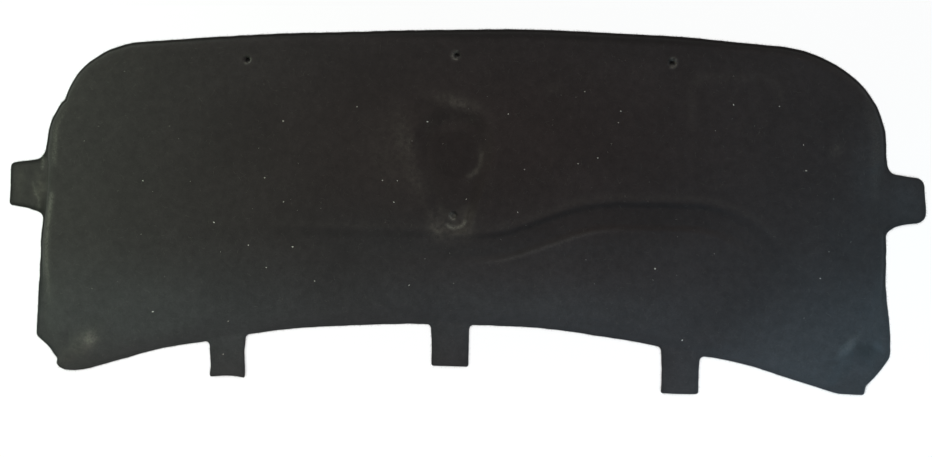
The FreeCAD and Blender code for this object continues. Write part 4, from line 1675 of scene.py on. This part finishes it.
@dataclass
class InsulationPad:
    """The whole pad as one closed shell of felt: engine side, cut edge, clip holes and flat back."""

    outline: PadOutline
    relief: PadRelief
    marks: PadMarks
    edge_step: float = 2.0 * MM
    fine_step: float = 2.0 * MM
    coarse_step: float = 4.0 * MM
    back_step: float = 9.0 * MM
    lip_rings: tuple[float, ...] = (0.7 * MM, 1.8 * MM)
    slope_rings: tuple[float, ...] = (
        3.2 * MM, 4.6 * MM, 6.2 * MM, 8.0 * MM, 10.2 * MM, 13.0 * MM, 16.5 * MM, 20.0 * MM,
    )
    collar_rings: tuple[float, ...] = (4.2 * MM, 5.0 * MM, 5.8 * MM, 6.6 * MM, 7.6 * MM)
    hole_points: int = 40
    ring_keep: float = 0.9
    lip_room: float = 0.7
    slope_room: float = 0.6
    collar_room: float = 0.4
    back_room: float = 0.5
    fine_margin: float = 4 * MM
    fine_corner: float = 0.004
    fine_hole_radii: float = 4.0
    least_gap: float = 0.45 * MM
    waist_share: float = 0.82
    waist_height: float = 0.5
    edge_bulge: float = 0.25 * MM
    edge_tuck: float = 0.4 * MM
    back_ring: float = 3.0 * MM
    back_press: float = 0.3
    whole_hull: ClassVar[int] = 0
    merge_distance: ClassVar[float] = 1e-9
    name: str = "insulation_pad_felt"

    def lattice(self, step: float) -> Array:
        """Places on a lattice over the whole pad, every other row shifted by half a step.

        Args:
            step: The spacing.

        Returns:
            An array of x and y.
        """
        half_width, half_depth = self.outline.tab_tip, self.outline.front_edge
        across = np.arange(-half_width, half_width, step)
        along = np.arange(-half_depth, half_depth, step * math.sqrt(3) / 2)
        x, y = np.meshgrid(across, along)
        x[1::2] += step / 2
        return np.column_stack([x.ravel(), y.ravel()])

    def ring_points(self, loop: Array, inset: float, room: float) -> Array:
        """A clockwise loop moved inwards, without the places too near to the trimmed edge."""
        moved = loop + inset * inward(loop)
        return moved[self.outline.inside(moved) > room]

    def hole_loop(self, hole: Place, radius: float) -> Array:
        """Points round a clip hole, clockwise."""
        return np.asarray(hole) + radius * circle(self.hole_points) * (1, -1)

    def hole_loops(self, radius: float) -> list[Array]:
        """Loops of one radius round every clip hole."""
        return [self.hole_loop(hole, radius) for hole in self.outline.clip_holes]

    def top_places(self, loop: Array) -> Array:
        """Places on the engine side: rings along edge and slope and round the holes, and two lattices.

        Args:
            loop: The trimmed edge.

        Returns:
            An array of x and y.
        """
        field_loop = self.outline.field_loop(self.edge_step)
        rings = [self.ring_points(loop, inset, self.ring_keep * inset) for inset in self.lip_rings]
        past_lip = self.lip_rings[-1] + self.least_gap
        rings += [self.ring_points(field_loop, inset, past_lip) for inset in self.slope_rings]
        holes = self.outline.clip_holes
        rings += [self.hole_loop(hole, radius) for hole in holes for radius in self.collar_rings]
        fine = self.relief.survey(self.lattice(self.fine_step))
        coarse = self.relief.survey(self.lattice(self.coarse_step))
        fine_kept = fine.places[self.open_ground(fine) & self.busy(fine)]
        coarse_kept = coarse.places[self.open_ground(coarse) & ~self.busy(coarse)]
        return self.spaced(np.vstack([*rings, fine_kept, coarse_kept]))

    def back_places(self, loop: Array) -> Array:
        """Places on the back: one ring along its edge and a wide lattice.

        Args:
            loop: The trimmed edge.

        Returns:
            An array of x and y.
        """
        lattice = self.lattice(self.back_step)
        room = self.back_room * self.back_step
        clear = self.outline.inside(lattice) > self.back_ring + room
        clear &= self.outline.from_holes(lattice).min(axis=0) > self.outline.clip_radius + room
        ring = self.ring_points(loop, self.back_ring, self.ring_keep * self.back_ring)
        return self.spaced(np.vstack([ring, lattice[clear]]))

    def open_ground(self, survey: Survey) -> Array:
        """Whether places are clear of the edge's and the slope's rings and of the holes' collars.

        Args:
            survey: The places.

        Returns:
            Yes or no for each place.
        """
        slope_room = self.slope_room * self.fine_step
        clear_of_edge = survey.edge > self.lip_rings[-1] + self.lip_room * self.fine_step
        above_slope = survey.field > self.slope_rings[-1] + slope_room
        below_slope = survey.field < self.slope_rings[0] - slope_room
        collar = self.collar_rings[-1] + self.collar_room * self.fine_step
        clear_of_holes = survey.holes.min(axis=0) > collar
        return clear_of_edge & (above_slope | below_slope) & clear_of_holes

    def busy(self, survey: Survey) -> Array:
        """Whether places lie near a form that needs the fine lattice.

        Args:
            survey: The places.

        Returns:
            Yes or no for each place.
        """
        near_channel = np.abs(survey.channel) < self.relief.channel_top_half + self.fine_margin
        near_recess = survey.pear < self.fine_margin
        near_corner = survey.corner > -self.fine_corner
        near_hole = survey.holes.min(axis=0) < self.fine_hole_radii * self.outline.clip_radius
        return near_channel | near_recess | near_corner | near_hole | (survey.field < 0)

    def spaced(self, places: Array) -> Array:
        """Drops places that share a small square with an earlier one, so that no sliver is left."""
        squares = np.round(places / self.least_gap).astype(int)
        return places[np.sort(np.unique(squares, axis=0, return_index=True)[1])]

    def sheet(self, loops: Sequence[Array], inner: Array) -> tuple[Array, Array]:
        """Triangles over the pad, bounded by its outline and without the clip holes.

        The places are joined over their whole hull. Left out are triangles with all corners on one hole,
        and those with all corners on the outline that turn the other way from it, which lie in its bays.

        Args:
            loops: The outline and the holes, as clockwise loops.
            inner: Further places.

        Returns:
            The places, loops first and in order, and the triangles, anticlockwise.
        """
        places = np.vstack([*loops, inner])
        owner = np.repeat(np.arange(len(loops) + 1), [len(part) for part in (*loops, inner)])
        edges, start = [], 0
        for loop in loops:
            index = start + np.arange(len(loop))
            edges.append(np.column_stack([index, np.roll(index, -1)]))
            start += len(loop)
        found = delaunay_2d_cdt(
            places.tolist(), np.vstack(edges).tolist(), [], self.whole_hull, self.merge_distance, False
        )
        if len(found[0]) != len(places):
            raise ValueError("two places of the pad's mesh fell together")
        corners = np.sort(np.array(found[2]), axis=1)
        first, second = (places[corners[:, number]] - places[corners[:, 0]] for number in (1, 2))
        left_turn = first[:, 0] * second[:, 1] - first[:, 1] * second[:, 0] > 0
        owners = owner[corners]
        on_one = (owners == owners[:, :1]).all(axis=1)
        in_hole = on_one & (owners[:, 0] > 0) & (owners[:, 0] < len(loops))
        in_bay = on_one & (owners[:, 0] == 0) & left_turn
        corners[~left_turn] = corners[~left_turn][:, ::-1]
        return places, corners[~(in_hole | in_bay)]

    def strip(self, upper: Array, lower: Array) -> Array:
        """Quads between two clockwise rings of as many vertex numbers, facing out of the rings."""
        return np.column_stack([upper, np.roll(upper, -1), np.roll(lower, -1), lower])

    def walls(self, rim: int, middle_start: int) -> tuple[Array, int]:
        """Quads of the cut edge, in two rows, and of the clip holes, in two rows about a narrower waist.

        Args:
            rim: How many vertices the cut edge's ring has.
            middle_start: The first vertex of the ring half way down the cut edge.

        Returns:
            Four vertex numbers for each quad, and the first vertex of the back.
        """
        ring, hole = np.arange(rim), np.arange(self.hole_points)
        hole_count = len(self.outline.clip_holes)
        waist_start = middle_start + rim
        back_start = waist_start + hole_count * self.hole_points
        quads = [self.strip(ring, middle_start + ring), self.strip(middle_start + ring, back_start + ring)]
        for number in range(hole_count):
            around = number * self.hole_points + hole
            quads.append(self.strip(waist_start + around, rim + around))
            quads.append(self.strip(back_start + rim + around, waist_start + around))
        return np.vstack(quads), back_start

    def build(self) -> Piece:
        """Makes the shell's mesh, with the marks at its vertices.

        The engine side and the back are sheets. Between them, the cut edge bulges half way down and the
        clip holes narrow to a waist. Last, handling pushes every vertex sideways.

        Returns:
            The pad's object.
        """
        loop = self.outline.loop(self.edge_step)
        into = inward(loop)
        holes = self.hole_loops(self.outline.clip_radius)
        waists = self.hole_loops(self.waist_share * self.outline.clip_radius)
        top_xy, top_faces = self.sheet([loop, *holes], self.top_places(loop))
        back_xy, back_faces = self.sheet([loop + self.edge_tuck * into, *holes], self.back_places(loop))

        survey = self.relief.survey(top_xy)
        top_z = self.relief.top(survey)
        back_z = self.relief.handling.lift(back_xy)
        rim = len(loop)
        middle_z = (top_z[:rim] + back_z[:rim]) / 2
        waist_z = top_z[rim : rim + len(holes) * self.hole_points] * self.waist_height
        xy = np.vstack([top_xy, loop - self.edge_bulge * into, *waists, back_xy])
        z = np.concatenate([top_z, middle_z, waist_z, back_z])
        vertices = np.column_stack([xy + self.relief.handling.shift(xy), z])

        quads, back_start = self.walls(rim, len(top_xy))
        triangles = np.vstack([top_faces, back_start + back_faces[:, ::-1]])
        numbers = {}
        for mark, values in self.marks.at(survey).items():
            press = self.back_press if mark is Mark.PRESSED else 0.0
            back = np.full(len(waist_z) + len(back_xy), press)
            numbers[mark.value] = np.concatenate([values, values[:rim], back])
        return add_mesh(self.name, vertices, triangles.tolist() + quads.tolist(), numbers)

    def dress(self, pad: Piece, felt: FeltFinish) -> None:
        """Gives the pad its felt, and puts it in the place of its solid.

        Args:
            pad: The pad's object.
            felt: Its finish.
        """
        pad.data.materials.append(felt.material())
        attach(pad, BODY)
        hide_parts(NODE)


@dataclass
class LooseFibres:
    """Single fibres as narrow ribbons: on the felt, out of its edge and in bunches where it is frayed."""

    outline: PadOutline
    relief: PadRelief
    frayed_mm: tuple[Place, ...] = (
        (-552, 143), (-572, -190), (-556, -214), (-548, -230), (549, -226), (-566, 60),
    )
    bunch: int = 60
    bunch_points: int = 24
    bunch_tone: Range = (0.3, 1.0)
    edge_count: int = 3600
    edge_step: float = 0.5 * MM
    edge_length: Range = (0.8 * MM, 3.2 * MM)
    edge_turn: float = 1.0
    edge_climb: Range = (-0.4, 0.6)
    edge_foot: Range = (0.15, 0.95)
    edge_tone: float = 0.6
    root_depth: float = 0.2 * MM
    least_height: float = 0.05 * MM
    lying_count: int = 9000
    lying_length: Range = (2.5 * MM, 9 * MM)
    lying_tone: float = 0.45
    lying_height: float = 0.03 * MM
    arch: float = 0.25 * MM
    hole_room: float = 18 * MM
    most_bend: float = 1.6
    joints: int = 5
    width: float = 0.13 * MM
    tip_share: float = 0.3
    seed: int = 41
    name: str = "loose_fibres"

    def curves(
        self, draw: np.random.Generator, roots: Array, headings: Array, length: Array
    ) -> tuple[Array, Array]:
        """Places along fibres whose heading turns at a steady rate, as running sums of short steps.

        Args:
            draw: The random numbers.
            roots: Where the fibres start, as x and y.
            headings: Which way they start, in radians.
            length: How long they are.

        Returns:
            The places, and the unit vectors along the fibre there, for each fibre and joint.
        """
        share = np.linspace(0.0, 1.0, self.joints)
        bend = draw.uniform(-self.most_bend, self.most_bend, (len(roots), 1))
        heading = headings[:, None] + bend * share
        way = np.stack([np.cos(heading), np.sin(heading)], axis=2)
        step = length[:, None, None] / (self.joints - 1)
        return roots[:, None] + np.cumsum(way * step, axis=1) - way[:, :1] * step, way

    def standing(self, draw: np.random.Generator) -> tuple[Array, Array, Array, Array]:
        """Fibres that stand out of the cut edge, strewn along it and in bunches at the frayed spots.

        A fibre starts at a random height on the edge, heads out of it at a random turn and rises or sinks.

        Args:
            draw: The random numbers.

        Returns:
            Places, ways and heights at each joint, and each fibre's tone.
        """
        loop = self.outline.loop(self.edge_step)
        picked = [draw.integers(0, len(loop), self.edge_count)]
        for spot in np.array(self.frayed_mm) * MM:
            nearest = np.argsort(np.hypot(*(loop - spot).T))[: self.bunch_points]
            picked.append(draw.choice(nearest, self.bunch))
        chosen = np.concatenate(picked)
        root, out = loop[chosen], -inward(loop)[chosen]
        count = len(chosen)
        under, over = self.relief.handling.lift(root), self.relief.top(self.relief.survey(root))
        length = draw.uniform(*self.edge_length, count)
        start = root + self.relief.handling.shift(root) - self.root_depth * out
        heading = np.arctan2(out[:, 1], out[:, 0]) + draw.uniform(-self.edge_turn, self.edge_turn, count)
        places, way = self.curves(draw, start, heading, length)
        climbed = draw.uniform(*self.edge_climb, count) * length
        climb = np.linspace(0.0, 1.0, self.joints) * climbed[:, None]
        foot = under + draw.uniform(*self.edge_foot, count) * (over - under)
        tone = self.edge_tone * draw.uniform(0, 1, count) ** 2
        tone[self.edge_count :] = draw.uniform(*self.bunch_tone, count - self.edge_count)
        return places, way, np.maximum(foot[:, None] + climb, self.least_height), tone

    def lying(self, draw: np.random.Generator) -> tuple[Array, Array, Array, Array]:
        """Fibres that lie on the engine side, any way round, with a slight arch along their length.

        Args:
            draw: The random numbers.

        Returns:
            Places, ways and heights at each joint, and each fibre's tone.
        """
        corner = (self.outline.half_panel, self.outline.front_edge)
        strewn = draw.uniform(np.negative(corner), corner, (self.lying_count, 2))
        root = strewn[self.outline.inside(strewn) > self.lying_length[1]]
        root = root[self.outline.from_holes(root).min(axis=0) > self.hole_room]
        count = len(root)
        length = draw.uniform(*self.lying_length, count)
        places, way = self.curves(draw, root, draw.uniform(0, FULL_TURN, count), length)
        flat = places.reshape(-1, 2)
        arch = self.arch * np.sin(np.linspace(0.0, math.pi, self.joints))
        ground = self.relief.top(self.relief.survey(flat)).reshape(count, -1)
        moved = (flat + self.relief.handling.shift(flat)).reshape(places.shape)
        tone = self.lying_tone * draw.uniform(0, 1, count) ** 3
        return moved, way, ground + self.lying_height + arch, tone

    def build(self) -> Piece:
        """Makes all the fibres in one mesh, with the tone of each at its vertices.

        Half a fibre's width lies to each side of its line and narrows to the tip.

        Returns:
            The fibres' object.
        """
        draw = np.random.default_rng(self.seed)
        parts = zip(self.standing(draw), self.lying(draw))
        places, way, height, tone = (np.concatenate(both) for both in parts)
        side = np.stack([-way[:, :, 1], way[:, :, 0]], axis=2)
        half = self.width / 2 * np.linspace(1.0, self.tip_share, self.joints)[None, :, None]
        edges = np.stack([places - half * side, places + half * side], axis=2)
        levels = np.repeat(height[:, :, None, None], 2, axis=2)
        vertices = np.concatenate([edges, levels], axis=3).reshape(-1, 3)
        quads = 2 * np.arange(self.joints - 1)[:, None] + np.array([1, 0, 2, 3])
        starts = 2 * self.joints * np.arange(len(places))[:, None, None]
        tones = np.repeat(tone, 2 * self.joints)
        faces = (starts + quads).reshape(-1, 4).tolist()
        return add_mesh(self.name, vertices, faces, {FibreFinish.tone: tones})

    def dress(self, fibres: Piece, finish: FibreFinish) -> None:
        """Gives the fibres their finish and lets them ride with the pad."""
        fibres.data.materials.append(finish.material())
        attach(fibres, BODY)


@dataclass
class LintSpecks:
    """Pale flecks of lint that lie on the felt: the plain ones by place, the fainter ones scattered."""

    relief: PadRelief
    places_mm: tuple[Place, ...] = (
        (-409, -151), (464, 57), (-217, -57), (-36, 115), (-233, 113), (271, -75), (-132, 134), (73, 126),
        (174, 157), (222, 132), (219, 117), (369, 142), (428, 141), (460, 91), (193, 70), (167, 62),
        (96, 53), (18, 12), (88, -4), (-95, 35), (-75, 35), (-79, 6), (-427, 29), (-326, -26),
        (-278, -56), (-252, -86), (-185, -103), (-304, -161), (-312, -208), (309, -169), (485, -83),
        (-56, -105), (-257, 36), (-230, 4),
    )
    brightest: int = 6
    bright_size: float = 1.25 * MM
    plain_size: Range = (0.75 * MM, 1.05 * MM)
    faint_size: Range = (0.22 * MM, 0.42 * MM)
    scattered: int = 60
    scatter_box: tuple[Place, Place] = ((-530 * MM, -140 * MM), (530 * MM, 200 * MM))
    stretch: Range = (0.6, 1.5)
    rag: Range = (0.65, 1.25)
    around: int = 7
    shoulder_share: float = 0.55
    rim_height: float = -0.15
    shoulder_height: float = 0.35
    top_height: float = 0.5
    seed: int = 23
    name: str = "lint_specks"

    def faces(self, count: int) -> list[list[int]]:
        """Faces of every fleck: quads up to the shoulder, triangles up to the top and a floor.

        Args:
            count: How many flecks there are.

        Returns:
            The vertex numbers of each face.
        """
        rim = np.arange(self.around)
        following = np.roll(rim, -1)
        shoulder, top = self.around, np.full(self.around, 2 * self.around)
        quads = np.column_stack([rim, following, following + shoulder, rim + shoulder])
        caps = np.column_stack([rim + shoulder, following + shoulder, top])
        starts = (2 * self.around + 1) * np.arange(count)[:, None, None]
        sides, tops = (starts + quads).reshape(-1, 4), (starts + caps).reshape(-1, 3)
        floors = starts[:, 0] + rim[::-1]
        return sides.tolist() + tops.tolist() + floors.tolist()

    def build(self) -> Piece:
        """Makes every fleck as a low closed dome with a ragged rim, all in one mesh.

        A fleck's rim is a circle of random radii, drawn out along a random heading; a second ring, the
        shoulder, and a top vertex stand above it.

        Returns:
            The flecks' object.
        """
        draw = np.random.default_rng(self.seed)
        chosen = np.array(self.places_mm, dtype=float) * MM
        places = np.vstack([chosen, draw.uniform(*self.scatter_box, (self.scattered, 2))])
        count = len(places)
        size = draw.uniform(*self.faint_size, count)
        size[: len(chosen)] = draw.uniform(*self.plain_size, len(chosen))
        size[: self.brightest] = self.bright_size
        stretch = draw.uniform(*self.stretch, (count, 1))
        heading = draw.uniform(0, FULL_TURN, (count, 1))
        rag = draw.uniform(*self.rag, (count, self.around)) * size[:, None]
        ring = circle(self.around)
        along, across = rag * ring[:, 0] * stretch, rag * ring[:, 1] / stretch
        x = along * np.cos(heading) - across * np.sin(heading)
        y = along * np.sin(heading) + across * np.cos(heading)
        rims = np.stack([x, y], axis=2)
        spots = np.concatenate([rims, self.shoulder_share * rims, np.zeros((count, 1, 2))], axis=1)
        flat = (spots + places[:, None]).reshape(-1, 2)
        ground = self.relief.top(self.relief.survey(flat)).reshape(count, -1)
        heights = [self.rim_height, self.shoulder_height, self.top_height]
        levels = np.repeat(heights, [self.around, self.around, 1])
        z = ground + levels * size[:, None]
        vertices = np.column_stack([flat + self.relief.handling.shift(flat), z.ravel()])
        return add_mesh(self.name, vertices, self.faces(count))

    def dress(self, lint: Piece, finish: LintFinish) -> None:
        """Gives the flecks their finish and lets them ride with the pad."""
        lint.data.materials.append(finish.material())
        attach(lint, BODY)


@dataclass(frozen=True)
class Softbox:
    """A flat lamp: where it stands, what it points at, its size, beam, brightness and tint."""

    name: str
    stands: Spot
    aims: Spot
    width: float
    depth: float
    beam: float
    power: float
    tint: Colour

    def build(self) -> None:
        """Adds the lamp to the scene, out of the camera's sight."""
        lamp = bpy.data.lights.new(self.name, "AREA")
        lamp.shape = "RECTANGLE"
        lamp.size = self.width
        lamp.size_y = self.depth
        lamp.spread = math.radians(self.beam)
        lamp.energy = self.power
        lamp.color = self.tint
        holder = bpy.data.objects.new(self.name, lamp)
        holder.visible_camera = False
        way = Vector(self.aims) - Vector(self.stands)
        turn = way.to_track_quat("-Z", "Y").to_matrix().to_4x4()
        holder.matrix_world = Matrix.Translation(self.stands) @ turn
        bpy.context.scene.collection.objects.link(holder)


@dataclass
class Studio:
    """Floor, lamps, surroundings and the camera, which looks down on the pad from a little to the right."""

    outline: PadOutline
    rim_thickness: float
    floor_half: float = 12.0
    floor_gap: float = 0.15 * MM
    underlay_radius: float = 12 * MM
    underlay_points: int = 32
    # Tones of the dark paper that paints the shade seen through the clip holes
    front_paper: Colour = (0.14, 0.13, 0.125)
    recess_paper: Colour = (0.042, 0.038, 0.035)
    sky: Colour = (1.0, 1.0, 1.0)
    sky_strength: float = 0.30
    image_width: int = 932
    focal_pixels: float = 1300.0
    sensor_width: float = 36.0
    clip_end: float = 100.0
    camera_place: Place = (182.4 * MM, -27.4 * MM)
    camera_height: float = 1742.5 * MM
    camera_yaw: float = math.radians(5.378)
    camera_roll: float = math.radians(1.1786)
    lamps: ClassVar[tuple[Softbox, ...]] = (
        Softbox("front_lamp", (0.1, 1.3, 2.3), (0.0, 0.0, 0.0), 1.6, 1.6, 180, 46.9, (0.962, 1.0, 0.962)),
        Softbox("left_lamp", (-0.98, 0.05, 0.70), (-0.72, 0.0, 0.0), 0.5, 0.5, 80, 2.78, (0.74, 1.0, 0.75)),
        Softbox("rear_lamp", (0.0, -0.80, 0.85), (0.0, -0.50, 0.0), 1.3, 0.2, 50, 2.38, (1.0, 0.90, 0.934)),
        Softbox("right_lamp", (0.8, -0.6, 0.65), (0.62, -0.32, 0), 0.4, 0.4, 80, 1.755, (0.35, 0.76, 1.0)),
    )

    def build_floor(self, finish: FloorFinish) -> None:
        """Lays the floor, one flat square just under the pad.

        Args:
            finish: The floor's finish.
        """
        half, z = self.floor_half, -self.floor_gap
        vertices = np.array([(-half, -half, z), (half, -half, z), (half, half, z), (-half, half, z)])
        floor = add_mesh("floor", vertices, [[0, 1, 2, 3]])
        floor.data.materials.append(finish.material())

    def build_underlay(self, name: str, holes: Sequence[Place], finish: UnderlayFinish) -> None:
        """Lays dark paper discs, as fans of triangles, under clip holes: painted shade that makes the holes
        read dark.

        Args:
            name: What the sheets are called.
            holes: Where the holes are.
            finish: The sheets' finish.
        """
        count = self.underlay_points
        disc = np.vstack([np.zeros((1, 2)), self.underlay_radius * circle(count)])
        spots = (np.array(holes)[:, None] + disc).reshape(-1, 2)
        vertices = np.column_stack([spots, np.full(len(spots), -self.floor_gap / 2)])
        rim = 1 + np.arange(count)
        fan = np.column_stack([np.zeros(count, dtype=int), rim, np.roll(rim, -1)])
        starts = (count + 1) * np.arange(len(holes))[:, None, None]
        hole_shade_sheet = add_mesh(name, vertices, (starts + fan).reshape(-1, 3).tolist())
        hole_shade_sheet.data.materials.append(finish.material())

    def build_sky(self) -> None:
        """Surrounds the scene with even light, seen as white by the camera."""
        world = bpy.data.worlds.new("studio")
        world.use_nodes = True
        tree = world.node_tree
        tree.nodes.clear()
        path = tree.nodes.new("ShaderNodeLightPath")
        strength = tree.nodes.new("ShaderNodeMapRange")
        strength.inputs["To Min"].default_value = self.sky_strength
        strength.inputs["To Max"].default_value = 1.0
        glow = tree.nodes.new("ShaderNodeBackground")
        glow.inputs["Color"].default_value = (*self.sky, 1.0)
        output = tree.nodes.new("ShaderNodeOutputWorld")
        tree.links.new(path.outputs["Is Camera Ray"], strength.inputs["Value"])
        tree.links.new(strength.outputs["Result"], glow.inputs["Strength"])
        tree.links.new(glow.outputs["Background"], output.inputs["Surface"])
        bpy.context.scene.world = world

    def build_camera(self) -> None:
        """Sets the camera: straight down over its place, leant about y, then rolled about its own axis."""
        lens = bpy.data.cameras.new("camera")
        lens.sensor_width = self.sensor_width
        lens.lens = self.focal_pixels / self.image_width * self.sensor_width
        lens.clip_end = self.clip_end
        camera = bpy.data.objects.new("camera", lens)
        lean = Matrix.Rotation(self.camera_yaw, 4, "Y")
        roll = Matrix.Rotation(self.camera_roll, 4, "Z")
        stand = Matrix.Translation((*self.camera_place, self.camera_height + self.rim_thickness))
        camera.matrix_world = stand @ lean @ roll
        bpy.context.scene.collection.objects.link(camera)
        bpy.context.scene.camera = camera

    def build(self) -> None:
        """Sets up the floor, the dark paper that paints shade under the holes, the sky, the lamps and the
        camera.
        """
        bpy.context.scene.view_settings.view_transform = "Standard"
        self.build_floor(FloorFinish())
        # Dark paper under the holes paints the shade seen through them
        *front_holes, recess_hole = self.outline.clip_holes
        self.build_underlay("front_underlay", front_holes, UnderlayFinish(self.front_paper))
        self.build_underlay("recess_underlay", [recess_hole], UnderlayFinish(self.recess_paper))
        self.build_sky()
        for lamp in self.lamps:
            lamp.build()
        self.build_camera()


def main() -> None:
    """Builds and dresses the pad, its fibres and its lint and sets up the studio."""
    logging.basicConfig(level=logging.INFO, format="%(name)s: %(message)s")
    outline = PadOutline.from_frame()
    relief = PadRelief(outline, PadHandling(outline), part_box(NODE)[1].z)
    parts = (
        (InsulationPad(outline, relief, PadMarks(relief)), FeltFinish()),
        (LooseFibres(outline, relief), FibreFinish()),
        (LintSpecks(relief), LintFinish()),
    )
    for part, finish in parts:
        piece = part.build()
        part.dress(piece, finish)
        mesh = piece.data
        log.info("%s: %d vertices, %d faces", piece.name, len(mesh.vertices), len(mesh.polygons))
    studio = Studio(outline, relief.rim_thickness)
    studio.build()
    log.info("studio: floor, paper under the holes, %d lamps and the camera", len(studio.lamps))


if __name__ == "__main__":
    main()
